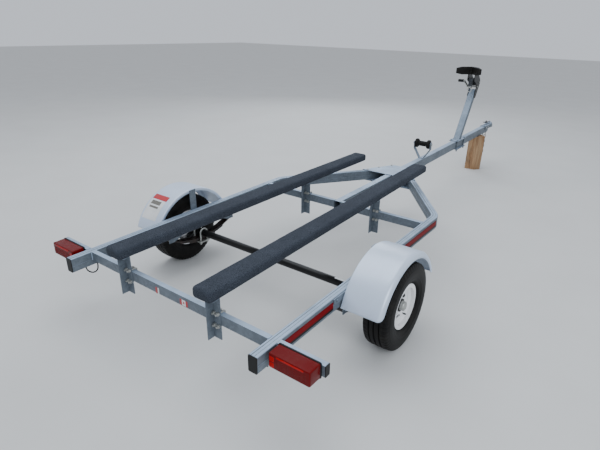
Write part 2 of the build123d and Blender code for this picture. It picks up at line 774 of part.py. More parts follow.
with BuildPart() as roller_yoke:
    for side in (-1, 1):
        with BuildSketch(facing_rear(ROLLER_Y)):
            with BuildLine():
                Polyline(
                    (0, TOP),
                    (side * (tongue_half - 4), TOP),
                    (side * (yoke_inner + YOKE_T), roller_z - 45),
                    (side * (yoke_inner + YOKE_T), roller_z + YOKE_W / 2),
                    (side * yoke_inner, roller_z + YOKE_W / 2),
                    (side * yoke_inner, roller_z - 43),
                    (side * (tongue_half - 7), TOP + YOKE_T),
                    (0, TOP + YOKE_T),
                    close=True,
                )
            make_face()
        extrude(amount=YOKE_W / 2, both=True)
        with BuildSketch(facing_side(side * ROLLER_HALF, ROLLER_Y, roller_z)):
            Circle(ROLLER_PIN_R + 5)
        extrude(amount=side * ROLLER_SIDE_GAP)
        with BuildSketch(facing_side(side * (yoke_inner + YOKE_T), ROLLER_Y, roller_z)):
            RegularPolygon(12, 6)
        extrude(amount=side * HEX_H)
    with BuildSketch(facing_side(0, ROLLER_Y, roller_z)):
        Circle(ROLLER_PIN_R)
    extrude(amount=yoke_inner, both=True)

roller_line = Axis(raised(Plane(origin=(0, ROLLER_Y, roller_z))).origin, (1, 0, 0))

with BuildPart() as keel_roller:
    with BuildSketch(facing_rear(ROLLER_Y, 0, roller_z)):
        with BuildLine():
            Polyline(
                (0, ROLLER_WAIST_R),
                (ROLLER_HALF - 34, ROLLER_WAIST_R + 1),
                (ROLLER_HALF - 18, ROLLER_R),
                (ROLLER_HALF - 3, ROLLER_R),
                (ROLLER_HALF - 0.3, ROLLER_R - 6),
                (ROLLER_HALF - 0.3, ROLLER_PIN_R + BEARING_FIT),
                (0, ROLLER_PIN_R + BEARING_FIT),
                close=True,
            )
        make_face()
        mirror(about=Plane.YZ)
    revolve(axis=roller_line)

# Winch stand: clamp plates over and under the tongue, and the leaning post
lean = math.radians(POST_LEAN)
post_up = (0, math.sin(lean), math.cos(lean))
post_foot_y = POST_Y + POST_D / 2 / math.cos(lean)
post_top_y = post_foot_y + POST_LENGTH * math.sin(lean)
post_top_z = TOP + STAND_T + POST_LENGTH * math.cos(lean)
drum_y = post_top_y + DRUM_AHEAD
drum_z = post_top_z + DRUM_ABOVE
crank_y = post_top_y + CRANK_AHEAD
crank_z = post_top_z + CRANK_ABOVE
bow_y = post_top_y + BOW_AHEAD
bow_z = post_top_z + BOW_ABOVE
guide_y = post_top_y + STRAP_GUIDE_AHEAD
guide_z = post_top_z + STRAP_GUIDE_ABOVE

with BuildPart() as stand_plates:
    for height in (TOP, rail_bottom - STAND_T):
        with BuildSketch(level(height)):
            with Locations((0, (STAND_REAR_Y + STAND_FRONT_Y) / 2)):
                Rectangle(STAND_W, STAND_FRONT_Y - STAND_REAR_Y)
        extrude(amount=STAND_T)
    for along in (STAND_REAR_Y + 22, STAND_FRONT_Y - 22):
        for side in (-1, 1):
            bolt_x = side * (tongue_half + STAND_BOLT_R + 1.5)
            with BuildSketch(level(rail_bottom - STAND_T - HEX_H - 14, bolt_x, along)):
                Circle(STAND_BOLT_R)
            extrude(amount=RAIL_H + 2 * STAND_T + HEX_H + 14)
            for height in (rail_bottom - STAND_T - HEX_H, TOP + STAND_T):
                with BuildSketch(level(height, bolt_x, along)):
                    RegularPolygon(STAND_BOLT_R * 1.8, 6)
                extrude(amount=HEX_H)

with BuildPart() as winch_post:
    with BuildSketch(raised(Plane(origin=(0, post_foot_y, TOP + STAND_T), x_dir=(1, 0, 0), z_dir=post_up))):
        RectangleRounded(POST_W, POST_D, 6)
        RectangleRounded(POST_W - 2 * POST_WALL, POST_D - 2 * POST_WALL, 3, mode=Mode.SUBTRACT)
    extrude(amount=POST_LENGTH)
    extrude(faces().sort_by(Axis.Z)[0], amount=POST_D)
    with BuildSketch(level(TOP + STAND_T, 0, post_foot_y)):
        Rectangle(4 * POST_W, 8 * POST_D)
    extrude(amount=-2 * POST_D, mode=Mode.SUBTRACT)

# Winch frame: two side plates on the post, arms up to the bow stop, and a guide for the strap
side_in = POST_W / 2
side_out = side_in + SIDE_T
post_grip_y = post_top_y - POST_GRIP * math.sin(lean)
post_grip_z = post_top_z - POST_GRIP * math.cos(lean)

with BuildPart() as winch_frame:
    for side in (-1, 1):
        with BuildSketch(facing_side(side * side_in)):
            with Locations((post_grip_y, post_grip_z)):
                Circle(POST_D / 2 + 3)
            with Locations((drum_y, drum_z)):
                Circle(DRUM_FLANGE_R - 8)
            with Locations((crank_y, crank_z)):
                Circle(PINION_R + 10)
            make_hull()
        extrude(amount=side * SIDE_T)
        with BuildSketch(facing_side(side * side_in)):
            with Locations((drum_y, drum_z)):
                Circle(DRUM_FLANGE_R - 8)
            with Locations((guide_y, guide_z)):
                Circle(2 * STRAP_GUIDE_R)
            with Locations((bow_y + BOW_PAD, bow_z + BOW_H / 2)):
                Circle(BOW_PAD)
            make_hull()
        extrude(amount=side * SIDE_T)
    with BuildSketch(facing_side(0, guide_y, guide_z)):
        Circle(STRAP_GUIDE_R)
    extrude(amount=side_in, both=True)
    with BuildSketch(facing_rear(bow_y, 0, bow_z + BOW_H / 2)):
        Rectangle(2 * side_out, 2 * BOW_PAD)
    extrude(amount=-SIDE_T)
    with BuildSketch(facing_side(0, drum_y, drum_z)):
        Circle(DRUM_SHAFT_R + BEARING_FIT)
    extrude(amount=2 * side_out, both=True, mode=Mode.SUBTRACT)
    with BuildSketch(facing_side(0, crank_y, crank_z)):
        Circle(CRANK_SHAFT_R + BEARING_FIT)
    extrude(amount=2 * side_out, both=True, mode=Mode.SUBTRACT)

# Winch drum with its wound strap, flanges, shaft and gear wheel; the gear is on the left
gear_in = side_out + MOVING_GAP
arm_in = gear_in + GEAR_T + MOVING_GAP + 4

with BuildPart() as winch_drum:
    with BuildSketch(facing_side(0, drum_y, drum_z)):
        Circle(DRUM_WOUND_R)
    extrude(amount=DRUM_HALF - 3, both=True)
    for side in (-1, 1):
        with BuildSketch(facing_side(side * (DRUM_HALF - 3), drum_y, drum_z)):
            Circle(DRUM_FLANGE_R)
        extrude(amount=side * 3)
    with BuildSketch(facing_side(side_out + 8, drum_y, drum_z)):
        Circle(DRUM_SHAFT_R)
    extrude(amount=-(side_out + 8 + gear_in + GEAR_T + 3))
    with BuildSketch(facing_side(-gear_in, drum_y, drum_z)):
        Circle(GEAR_R)
    extrude(amount=-GEAR_T)

# Crank: shaft with its pinion, arm and grip, on the left
crank_turn = math.radians(CRANK_REST)
grip_y = crank_y - CRANK_ARM * math.cos(crank_turn)
grip_z = crank_z + CRANK_ARM * math.sin(crank_turn)

with BuildPart() as winch_crank:
    with BuildSketch(facing_side(side_out + 8, crank_y, crank_z)):
        Circle(CRANK_SHAFT_R)
    extrude(amount=-(side_out + 8 + arm_in))
    with BuildSketch(facing_side(-gear_in, crank_y, crank_z)):
        Circle(PINION_R)
    extrude(amount=-GEAR_T)
    with BuildSketch(facing_side(-arm_in)):
        with Locations((crank_y, crank_z), (grip_y, grip_z)):
            Circle(CRANK_ARM_W / 2)
        make_hull()
    extrude(amount=-CRANK_ARM_T)
    with BuildSketch(facing_side(-arm_in - CRANK_ARM_T, grip_y, grip_z)):
        Circle(GRIP_R)
    extrude(amount=-GRIP_LENGTH)
    fillet(winch_crank.faces().sort_by(Axis.X)[0].edges(), GRIP_R * 0.4)

# Bow stop: a rubber V whose wings reach back towards the bow
with BuildPart() as bow_stop:
    with BuildSketch(level(bow_z)):
        with BuildLine():
            Polyline(
                (-BOW_BACK_HALF, bow_y),
                (BOW_BACK_HALF, bow_y),
                (BOW_HALF, bow_y - BOW_DEPTH),
                (BOW_HALF - BOW_T * 0.7, bow_y - BOW_DEPTH - BOW_T * 0.9),
                (0, bow_y - BOW_T * 1.4),
                (-BOW_HALF + BOW_T * 0.7, bow_y - BOW_DEPTH - BOW_T * 0.9),
                (-BOW_HALF, bow_y - BOW_DEPTH),
                close=True,
            )
        make_face()
    extrude(amount=BOW_H)
    fillet(bow_stop.faces().sort_by(Axis.Z)[-1].edges(), 5)

# Winch strap: off the top of the drum, over the guide and straight down to the hook
reach_y = guide_y - drum_y
reach_z = guide_z - drum_z
reach = math.hypot(reach_y, reach_z)
slant = (DRUM_WOUND_R - STRAP_GUIDE_R) / reach
square = math.sqrt(1 - slant ** 2)
off_y = (reach_y * slant + reach_z * square) / reach
off_z = (reach_z * slant - reach_y * square) / reach
guide_in = STRAP_GUIDE_R + STRAP_SLACK
guide_out = guide_in + STRAP_T
drum_in = DRUM_WOUND_R + STRAP_SLACK
strap_end_z = guide_z - STRAP_DROP
turn_half = (math.pi - math.atan2(off_z, off_y)) / 2
turn_y = -math.cos(turn_half)
turn_z = math.sin(turn_half)

with BuildPart() as winch_strap:
    with BuildSketch(facing_side(0, guide_y, guide_z)):
        with BuildLine():
            Line(
                (-reach_y + off_y * (drum_in + STRAP_T), -reach_z + off_z * (drum_in + STRAP_T)),
                (off_y * guide_out, off_z * guide_out),
            )
            ThreePointArc(
                (off_y * guide_out, off_z * guide_out),
                (turn_y * guide_out, turn_z * guide_out),
                (-guide_out, 0),
            )
            Polyline((-guide_out, 0), (-guide_out, -STRAP_DROP), (-guide_in, -STRAP_DROP), (-guide_in, 0))
            ThreePointArc(
                (-guide_in, 0),
                (turn_y * guide_in, turn_z * guide_in),
                (off_y * guide_in, off_z * guide_in),
            )
            Polyline(
                (off_y * guide_in, off_z * guide_in),
                (-reach_y + off_y * drum_in, -reach_z + off_z * drum_in),
                (-reach_y + off_y * (drum_in + STRAP_T), -reach_z + off_z * (drum_in + STRAP_T)),
            )
        make_face()
    extrude(amount=STRAP_W / 2, both=True)

# Snap hook: a shank at the strap's end and a round eye
hook_y = guide_y - (guide_in + guide_out) / 2
hook_z = strap_end_z - HOOK_SHANK - HOOK_R
hook_plane = facing_rear(hook_y, 0, hook_z)

with BuildPart() as snap_hook:
    with BuildSketch(level(strap_end_z, 0, hook_y)):
        RectangleRounded(STRAP_W * 0.6, 9, 2)
    extrude(amount=-HOOK_SHANK)
    with BuildSketch(level(hook_z, 0, hook_y)):
        with Locations((HOOK_R, 0)):
            Circle(HOOK_WIRE_R)
    revolve(axis=Axis(hook_plane.origin, hook_plane.z_dir))

# Coupler: a channel over the tongue's end, the ball housing, and ears for the latch
coupler_half = tongue_half + SEAT_GAP + COUPLER_T
coupler_top = TOP + COUPLER_T
dome_align = (Align.CENTER, Align.CENTER, Align.MIN)

with BuildPart() as coupler:
    with BuildSketch(facing_rear(TONGUE_FRONT)):
        with Locations((0, (coupler_top + SOCKET_LOW) / 2)):
            Rectangle(2 * coupler_half, coupler_top - SOCKET_LOW)
        with Locations((0, (TOP + SOCKET_LOW) / 2 - COUPLER_T)):
            Rectangle(2 * (tongue_half + SEAT_GAP), TOP - SOCKET_LOW + 2 * COUPLER_T, mode=Mode.SUBTRACT)
    extrude(amount=TONGUE_FRONT - COUPLER_REAR_Y)
    with BuildSketch(level(SOCKET_LOW)):
        with Locations((0, TONGUE_FRONT + COUPLER_T)):
            Rectangle(2 * coupler_half, 2 * COUPLER_T)
        with Locations((0, BALL_Y)):
            Circle(SOCKET_R)
        make_hull()
    extrude(amount=coupler_top - SOCKET_LOW)
    with Locations(level(BALL_Z, 0, BALL_Y)):
        Sphere(SOCKET_R, arc_size1=0, align=dome_align)
        Sphere(BALL_R, arc_size1=0, align=dome_align, mode=Mode.SUBTRACT)
    with BuildSketch(level(BALL_Z, 0, BALL_Y)):
        Circle(BALL_R)
    extrude(amount=-2 * SOCKET_R, mode=Mode.SUBTRACT)
    for side in (-1, 1):
        with BuildSketch(facing_side(side * (LATCH_W / 2 + 1))):
            with Locations((LATCH_PIN_Y, (LATCH_PIN_Z + coupler_top - COUPLER_T / 2) / 2)):
                Rectangle(2 * LATCH_EAR_R, LATCH_PIN_Z - coupler_top + COUPLER_T / 2)
            with Locations((LATCH_PIN_Y, LATCH_PIN_Z)):
                Circle(LATCH_EAR_R)
        extrude(amount=side * COUPLER_T)
    with BuildSketch(facing_side(0, LATCH_PIN_Y, LATCH_PIN_Z)):
        Circle(LATCH_PIN_R)
    extrude(amount=LATCH_W / 2 + 1, both=True)

# Latch lever, lying back along the coupler
with BuildPart() as coupler_latch:
    with BuildSketch(facing_side(0, LATCH_PIN_Y, LATCH_PIN_Z)):
        with BuildLine():
            Polyline(
                (0, LATCH_HUB_R),
                (-LATCH_LENGTH * 0.75, LATCH_HUB_R),
                (-LATCH_LENGTH, LATCH_HUB_R + 16),
                (-LATCH_LENGTH, LATCH_HUB_R + 16 - LATCH_T),
                (-LATCH_LENGTH * 0.75, LATCH_HUB_R - LATCH_T),
                (0, LATCH_HUB_R - LATCH_T),
                close=True,
            )
        make_face()
        Circle(LATCH_HUB_R)
        Circle(LATCH_PIN_R + BEARING_FIT, mode=Mode.SUBTRACT)
    extrude(amount=LATCH_W / 2, both=True)

# Safety chains: links of flat-sided rod hanging from a lug under the tongue, with an open hook
link_step = LINK_OUT - 2 * LINK_ROD - LINK_BITE


def link_outline(width, length):
    """The eight corners of a link's outline, its long side upright."""
    across = width / 2
    along = length / 2
    cut = width * LINK_CORNER
    upper = [(across, along - cut), (across - cut, along), (cut - across, along), (-across, along - cut)]
    return upper + [(-x, -y) for x, y in upper]


with BuildPart() as safety_chains:
    for side in (-1, 1):
        with BuildSketch(level(rail_bottom, side * CHAIN_X, CHAIN_Y)):
            Rectangle(LUG_W, LUG_W)
        extrude(amount=-LUG_H)
        chain_top = level(rail_bottom - LUG_H, side * CHAIN_X, CHAIN_Y).origin
        for index in range(LINK_COUNT):
            link_z = chain_top.Z + LINK_ROD - 1 - LINK_OUT / 2 - index * link_step
            across = (1, 0, 0) if index % 2 else (0, 1, 0)
            through = (0, -1, 0) if index % 2 else (1, 0, 0)
            with BuildSketch(Plane(origin=(chain_top.X, chain_top.Y, link_z), x_dir=across, z_dir=through)):
                Polygon(*link_outline(LINK_W, LINK_OUT))
                Polygon(*link_outline(LINK_W - 2 * LINK_ROD, LINK_OUT - 2 * LINK_ROD), mode=Mode.SUBTRACT)
            extrude(amount=LINK_ROD / 2, both=True)
        hook_top = chain_top.Z + LINK_ROD - 1 - LINK_COUNT * link_step
        hook_place = (chain_top.X, chain_top.Y, hook_top - CHAIN_HOOK_R)
        with BuildSketch(Plane(origin=hook_place, x_dir=(0, 1, 0), z_dir=(1, 0, 0))):
            RegularPolygon(CHAIN_HOOK_R, 10)
            RegularPolygon(CHAIN_HOOK_R - LINK_ROD - 2, 10, mode=Mode.SUBTRACT)
            with Locations((CHAIN_HOOK_R, 0)):
                Rectangle(CHAIN_HOOK_R, CHAIN_HOOK_R * 0.6, mode=Mode.SUBTRACT)
        extrude(amount=LINK_ROD / 2, both=True)

# Split log that props the tongue: a wedge of round wood, bark on the far side
with BuildPart() as prop_log:
    with BuildSketch(Plane(origin=(0, axle_y + LOG_Y, 0))):
        with BuildLine():
            Polyline(
                (-LOG_W / 2, LOG_D * 0.2),
                (-LOG_W * 0.32, -LOG_D / 2),
                (LOG_W * 0.25, -LOG_D * 0.46),
                (LOG_W / 2, 0),
            )
            ThreePointArc((LOG_W / 2, 0), (LOG_W * 0.06, LOG_D / 2), (-LOG_W / 2, LOG_D * 0.2))
        make_face()
    extrude(amount=TOP + LOG_Y * math.tan(rise))
    split(bisect_by=level(rail_bottom), keep=Keep.BOTTOM)

# Lamp leads: a loop of cable from the crossbar's underside to the rail's
start_x, start_y, start_z = lead_ends[0]
end_x, end_y, end_z = lead_ends[1]
lead_route = [
    (start_x, start_y, start_z),
    (start_x, start_y, start_z - 21),
    (start_x + 1, start_y - 1.5, start_z - 42),
    (start_x + 7, start_y - 8.5, start_z - 59),
    (start_x + 19, start_y - 21.5, start_z - LEAD_SAG),
    (end_x - 8, end_y + 10, end_z - 35),
    (end_x, end_y, end_z - 18),
    (end_x, end_y, end_z),
]
lead_radii = []
for before, here, after in zip(lead_route, lead_route[1:], lead_route[2:]):
    run_in = Vector(here) - Vector(before)
    run_out = Vector(after) - Vector(here)
    half_turn = math.radians(run_in.get_angle(run_out)) / 2
    lead_radii.append(0.45 * min(run_in.length, run_out.length) / math.tan(half_turn))
print("lead radii", [round(radius, 1) for radius in lead_radii])

with BuildPart() as lamp_lead_right:
    with BuildLine(level(0)):
        FilletPolyline(*lead_route, radius=lead_radii)
    with BuildSketch(level(start_z, start_x, start_y)):
        Circle(LEAD_R)
    sweep()

with BuildPart() as lamp_lead_left:
    mirror(lamp_lead_right.part, about=Plane.YZ)

pieces = (
    ("rail_left", rail_left),
    ("rail_right", rail_right),
    ("rear_crossbar", rear_crossbar),
    ("front_crossbar", front_crossbar),
    ("tongue", tongue),
    ("gusset_plates", gusset_plates),
    ("end_caps", end_caps),
    ("bunk_left", bunk_left),
    ("bunk_right", bunk_right),
    ("bunk_brackets", bunk_brackets),
    ("bracket_clamps", bracket_clamps),
    ("axle", axle),
    ("spring_left", spring_left),
    ("spring_right", spring_right),
    ("spring_hangers", spring_hangers),
    ("axle_clamps", axle_clamps),
    ("tyre_left", tyre_left),
    ("tyre_right", tyre_right),
    ("rim_left", rim_left),
    ("rim_right", rim_right),
    ("hub_left", hub_left),
    ("hub_right", hub_right),
    ("fender_left", fender_left),
    ("fender_right", fender_right),
    ("fender_plates", fender_plates),
    ("lamp_bases", lamp_bases),
    ("lamp_left", lamp_left),
    ("lamp_right", lamp_right),
    ("side_strips", side_strips),
    ("lamp_lead_left", lamp_lead_left),
    ("lamp_lead_right", lamp_lead_right),
    ("roller_yoke", roller_yoke),
    ("keel_roller", keel_roller),
    ("stand_plates", stand_plates),
    ("winch_post", winch_post),
    ("winch_frame", winch_frame),
    ("winch_drum", winch_drum),
    ("winch_crank", winch_crank),
    ("winch_strap", winch_strap),
    ("snap_hook", snap_hook),
    ("bow_stop", bow_stop),
    ("coupler", coupler),
    ("coupler_latch", coupler_latch),
    ("safety_chains", safety_chains),
    ("prop_log", prop_log),
)
for name, piece in pieces:
    piece.part.label = name
    export_step(piece.part, f"parts/{name}.step")
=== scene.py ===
import json
import math

import bpy
import numpy as np
from bpy.props import FloatProperty, FloatVectorProperty, IntProperty, PointerProperty
from mathutils import Matrix, Vector


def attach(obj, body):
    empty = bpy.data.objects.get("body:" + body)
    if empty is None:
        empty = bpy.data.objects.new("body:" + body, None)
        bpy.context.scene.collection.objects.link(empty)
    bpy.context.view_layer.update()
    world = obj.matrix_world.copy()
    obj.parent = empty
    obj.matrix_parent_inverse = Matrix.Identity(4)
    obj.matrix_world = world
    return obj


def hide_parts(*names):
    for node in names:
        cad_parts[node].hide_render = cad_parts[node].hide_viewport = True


bl_info = {
    "name": "Boat trailer",
    "version": (1, 0, 0),
    "blender": (4, 5, 0),
    "location": "View3D > Sidebar > Trailer",
    "description": "Dresses a small galvanised boat trailer and its stage",
    "category": "Add Mesh",
}

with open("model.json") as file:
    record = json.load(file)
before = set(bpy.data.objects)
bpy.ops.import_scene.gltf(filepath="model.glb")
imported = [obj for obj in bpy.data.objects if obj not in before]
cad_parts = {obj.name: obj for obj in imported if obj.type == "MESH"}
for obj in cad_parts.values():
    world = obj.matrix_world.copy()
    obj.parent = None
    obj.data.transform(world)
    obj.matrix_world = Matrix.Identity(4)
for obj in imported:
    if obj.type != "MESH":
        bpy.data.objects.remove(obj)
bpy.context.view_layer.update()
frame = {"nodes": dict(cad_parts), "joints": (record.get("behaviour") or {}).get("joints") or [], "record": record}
MM = 0.001
JOINTS = {joint["name"]: joint for joint in frame["joints"]}
MOUNTS = {mount["name"]: mount for mount in frame["record"]["mounts"]}
SLOTS = {part["node"]: part["material_slot"] for part in frame["record"]["subparts"]}
WHEEL = np.array(JOINTS["wheel_right_spin"]["pos_m"])
BUNK_UP = MOUNTS["bunk_right_top"]["axis"]
NOSE_UP = math.atan2(-BUNK_UP[1], BUNK_UP[2])


# Colours and sizes

def linear(hex_colour):
    """An sRGB hex value as linear red, green, blue and alpha."""
    share = [int(hex_colour[i:i + 2], 16) / 255 for i in (1, 3, 5)]
    return (*(v / 12.92 if v <= 0.04045 else ((v + 0.055) / 1.055) ** 2.4 for v in share), 1.0)


def colour(name, hex_colour, words):
    """A colour that the sidebar shows and the materials read."""
    return FloatVectorProperty(
        name=name, description=words, subtype="COLOR", size=4, min=0, max=1, default=linear(hex_colour)
    )


def length(name, millimetres, words):
    """A size that the sidebar shows, kept in metres."""
    return FloatProperty(name=name, description=words, unit="LENGTH", default=millimetres * MM, precision=4)


def number(name, default, least, most, words):
    """A whole number that the sidebar shows."""
    return IntProperty(name=name, description=words, default=default, min=least, max=most)


class TrailerColours(bpy.types.PropertyGroup):
    """Colours of the finishes."""

    zinc: colour("Galvanising", "#6F7983", "dull zinc on the frame")
    zinc_dark: colour("Galvanising, dark spangle", "#545D66", "the darker crystals in the zinc")
    plated: colour("Plated fastenings", "#B4B5B1", "bolts, clamps and the chain")
    silver: colour("Fender paint", "#CBD9EC", "silver paint on the fenders")
    white: colour("Wheel paint", "#F3F3F4", "white enamel on the wheel discs")
    black: colour("Black paint", "#030304", "axle, hubs and winch")
    plastic: colour("Black plastic", "#0A0B0D", "caps and lamp bases")
    rubber: colour("Rubber", "#050507", "tyres, roller and bow stop")
    dust: colour("Road dust", "#5B564E", "dust in treads and low corners")
    carpet: colour("Carpet", "#15181D", "the ground colour of the bunk carpet")
    carpet_fleck: colour("Carpet fleck", "#646C79", "the light fibres in the carpet")
    lens: colour("Lamp lens", "#6C0002", "red acrylic")
    lens_light: colour("Lamp reflectors", "#C40000", "the bright squares and bar of a lamp")
    tape: colour("Reflective tape", "#7A0510", "strips along the rails")
    webbing: colour("Webbing", "#191A1D", "the winch strap")
    wood: colour("Split wood", "#B08B66", "the split faces of the log")
    wood_dark: colour("Wood, dark grain", "#6E4E35", "grain and cracks in the log")
    wood_pale: colour("Wood, pale grain", "#CDB08C", "the light bands of the log")
    bark: colour("Bark", "#5A4637", "the round side of the log")
    # Pale zinc tone: bloom, and painted top light on the faces that look up; also the welds' paint
    bloom: colour("Zinc bloom", "#A9BCD2", "pale weathering on the upper faces")
    grime: colour("Grime", "#6B675F", "old film on plated and painted parts")
    rust: colour("Rust", "#6A3A20", "rust at the edges of the springs and the chain")
    # Painted shade between a lens's ribs; also the dark borders of the tape's cells
    lens_deep: colour("Lens, depth", "#380000", "the dark between a lens's ribs")
    label: colour("Label", "#E3E4E4", "blank labels")
    label_band: colour("Label band", "#B8242C", "the red band on a blank label")
    floor: colour("Floor", "#D6D6D4", "the plain floor")


class TrailerSizes(bpy.types.PropertyGroup):
    """Sizes of the details that are added to the frame."""

    carpet_pile: length("Carpet pile", 1.2, "depth of the carpet's loops")
    tread_depth: length("Tread depth", 6.5, "depth of the grooves round a tyre")
    sipe_depth: length("Shoulder notches", 2.2, "depth of the notches at a tyre's shoulders")
    sipes: number("Shoulder notches", 60, 12, 120, "notches round a tyre")
    fender_bead: length("Fender bead", 3.0, "radius of the rolled edge of a fender")
    strap_edge: length("Strap selvedge", 0.4, "how far the strap's edges stand proud")
    gear_teeth: number("Gear teeth", 42, 12, 80, "teeth of the winch gear")
    pinion_teeth: number("Pinion teeth", 14, 8, 30, "teeth of the pinion")
    link_rod: length("Chain rod", 6.0, "thickness of the chain's wire")
    weld_width: length("Weld width", 6.0, "width of a weld bead")
    log_crack: length("Log cracks", 4.0, "depth of the cracks in the log")


# Places and sizes in millimetres and degrees; a place is across, ahead of the axle and above the ground

RAIL_TOP = 388
RAIL_LOW = 312
RAIL_OUT = 652
RAIL_WIDTH = 44
RAIL_REAR = -879
BEND_Y = 862
BEND_ANGLE = 36
BEND_R = 150
GUSSET_REAR_Y = 1430
CROSSBAR_REAR = -766
SEAMS = ((13, 3.6), (28, 1.6))
STRIP_RUNS = ((-734, -372), (338, 813))
STRIP_BLACK_BAND = (330.5, 341.5)
STRIP_FACE = 655
BUNK_RUN = ((305, -831), (258, 1434))
BUNK_SIZE = (112, 52)
BUNK_ROUNDS = (24, 16)
BUNK_TOP = 523
FENDER_CENTRE = (-17, 206)
FENDER_SIZE = (656, 862, 316, 70)
FENDER_SHEET = 2.5
FENDER_LIP = 22
FENDER_ROLL = 6
FENDER_CORNER = 38
LAMP_PLACE = (764.5, -772, 364)
LAMP_FACE = (193, 68, 66)
LAMP_TAPER = 0.0175
ROLLER_PLACE = (2077, 518)
ROLLER_HALF = 65.7
ROLLER_WAIST = 22.5
ROLLER_R = 38.6
TYRE_R = 230
TYRE_HALF = 72
DISC_PLANE = 8.5
DISC_R = (98, 101)
STRAP_HALF = 19.8
STRAP_MIDDLE = 1.6
DRUM_WOUND = 37
GUIDE_R = 7
STRAP_DROP = 70
GEAR_FACES = (-42, -50)
CRANK_REACH = 139
CRANK_REST = 27
HOOK_R = 20
COUPLER_RUN = (3830, 3960, 4070)
COUPLER_LEVELS = (352, 392, 372)
COUPLER_HALF = 29.7
COUPLER_DOME = 36
LATCH_PIN = (4010, 407)
AXLE_R = 22
CHAIN_PLACE = (14, 3925)
CHAIN_STEP = 29.4
CHAIN_LINKS = 8
LINK_R = 8
LINK_STRAIGHT = 10
LOG_PLACE = 3650
LOG_CORNERS = ((-95, 30), (-60.8, -75), (47.5, -69), (95, 0))
LEAD_ENDS = ((590, -752.5, 335), (630, -798, 309))
LEAD_R = 3.5
VALVE_PLACE = (13, 45, -71)
ROLLER_PIN_END = 76.2
BOW_MIDDLE = 37.5
BOW_BOLT = 30
COUPLER_BOLTS = ((29.9, 3856, 371), (29.9, 3932, 371))
COUPLER_EAR = (18, 22)
GUSSET_BOLTS = ((196, 1452), (150, 1560), (92, 1676))
FENDER_BOLTS = ((-30, 332), (-4, 332))
UPRIGHT_WELDS = ((607, -766), (607, -739), (607, 680), (607, 707), (653, -766), (653, -739))
UPRIGHT_WELD_RUN = (340, 386)
TOP_WELDS = ((607, -764, -741), (607, 682, 705))
POST_FOOT = ((-31, 2950), (31, 2950), (31, 3001), (-31, 3001))
POST_FOOT_TOP = 394.5
LABEL_ACROSS = (705, 835)
AXLE_WHITE_BAND = ((430, 500), (20, -22))


# Surfaces as arrays

def raise_frame(points):
    """Points of the level frame, measured from the axle and the ground, turned about the wheel centres."""
    points = np.asarray(points, float)
    y, z = points[..., 1], points[..., 2] - WHEEL[2]
    c, s = math.cos(NOSE_UP), math.sin(NOSE_UP)
    return np.stack([points[..., 0], WHEEL[1] + y * c - z * s, WHEEL[2] + y * s + z * c], -1)


def level_frame(points):
    """The reverse of raise_frame."""
    points = np.asarray(points, float)
    y, z = points[..., 1] - WHEEL[1], points[..., 2] - WHEEL[2]
    c, s = math.cos(NOSE_UP), math.sin(NOSE_UP)
    return np.stack([points[..., 0], y * c + z * s, WHEEL[2] - y * s + z * c], -1)


def space(points):
    """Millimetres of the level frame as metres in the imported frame."""
    return raise_frame(np.asarray(points, float) * MM)


def metres(points):
    """Millimetres as metres."""
    return points * MM


def skin(points, wrap_rows=False, wrap_columns=True, start=False, end=False):
    """A grid of points as (points, faces, uv): quads join neighbours, and a flat face closes an end row.

    uv holds, for each point, the distance gone along its row and along its column.
    """
    rows, columns = points.shape[:2]
    i = np.arange(rows if wrap_rows else rows - 1)[:, None]
    j = np.arange(columns if wrap_columns else columns - 1)[None, :]
    i2, j2 = (i + 1) % rows, (j + 1) % columns
    quads = np.stack([i * columns + j, i * columns + j2, i2 * columns + j2, i2 * columns + j], -1)
    faces = quads.reshape(-1, 4).tolist()
    if start:
        faces.append(list(range(columns))[::-1])
    if end:
        faces.append([(rows - 1) * columns + k for k in range(columns)])
    across = np.linalg.norm(np.diff(points, axis=1, prepend=points[:, :1]), axis=2).cumsum(1)
    along = np.linalg.norm(np.diff(points, axis=0, prepend=points[:1]), axis=2).cumsum(0)
    return points.reshape(-1, 3), faces, np.stack([across, along], -1).reshape(-1, 2)


def solid(points):
    """A grid of closed rows as a skin with a flat face at both ends."""
    return skin(points, start=True, end=True)


def joined(parts):
    """Several skins as one, with each one's face numbers moved past the points before it."""
    points, faces, uvs, offset = [], [], [], 0
    for part_points, part_faces, part_uv in parts:
        points.append(part_points)
        uvs.append(part_uv)
        faces.extend([[k + offset for k in face] for face in part_faces])
        offset += len(part_points)
    return np.concatenate(points), faces, np.concatenate(uvs)


def moved(part, change):
    """A skin with its points put through a function."""
    return change(part[0]), part[1], part[2]


def turned_round(part):
    """A skin with its faces turned round."""
    return part[0], [face[::-1] for face in part[1]], part[2]


def mirrored(part):
    """A skin mirrored in the plane x = 0, with its faces turned round."""
    return turned_round(moved(part, lambda points: points * (-1, 1, 1)))


def unchanged(part):
    """The skin itself: the right side's counterpart of mirrored."""
    return part


SIDES = (("right", 1, unchanged), ("left", -1, mirrored))


def ring(radius, steps):
    """Points round a circle: radius times the cosine and the sine of equal steps."""
    turn = np.linspace(0, 2 * np.pi, steps, endpoint=False)
    return np.stack([np.cos(turn), np.sin(turn)], -1) * np.reshape(radius, (-1, 1))


def rounded_box(width, height, radius, steps=5):
    """A rectangle's outline with quarter circles at its corners, anticlockwise."""
    turn = np.linspace(0, np.pi / 2, steps)
    arcs = []
    for k, (sx, sy) in enumerate(((1, 1), (-1, 1), (-1, -1), (1, -1))):
        angle = turn + k * np.pi / 2
        corner = (sx * (width / 2 - radius), sy * (height / 2 - radius))
        arcs.append(corner + radius * np.stack([np.cos(angle), np.sin(angle)], -1))
    return np.concatenate(arcs)


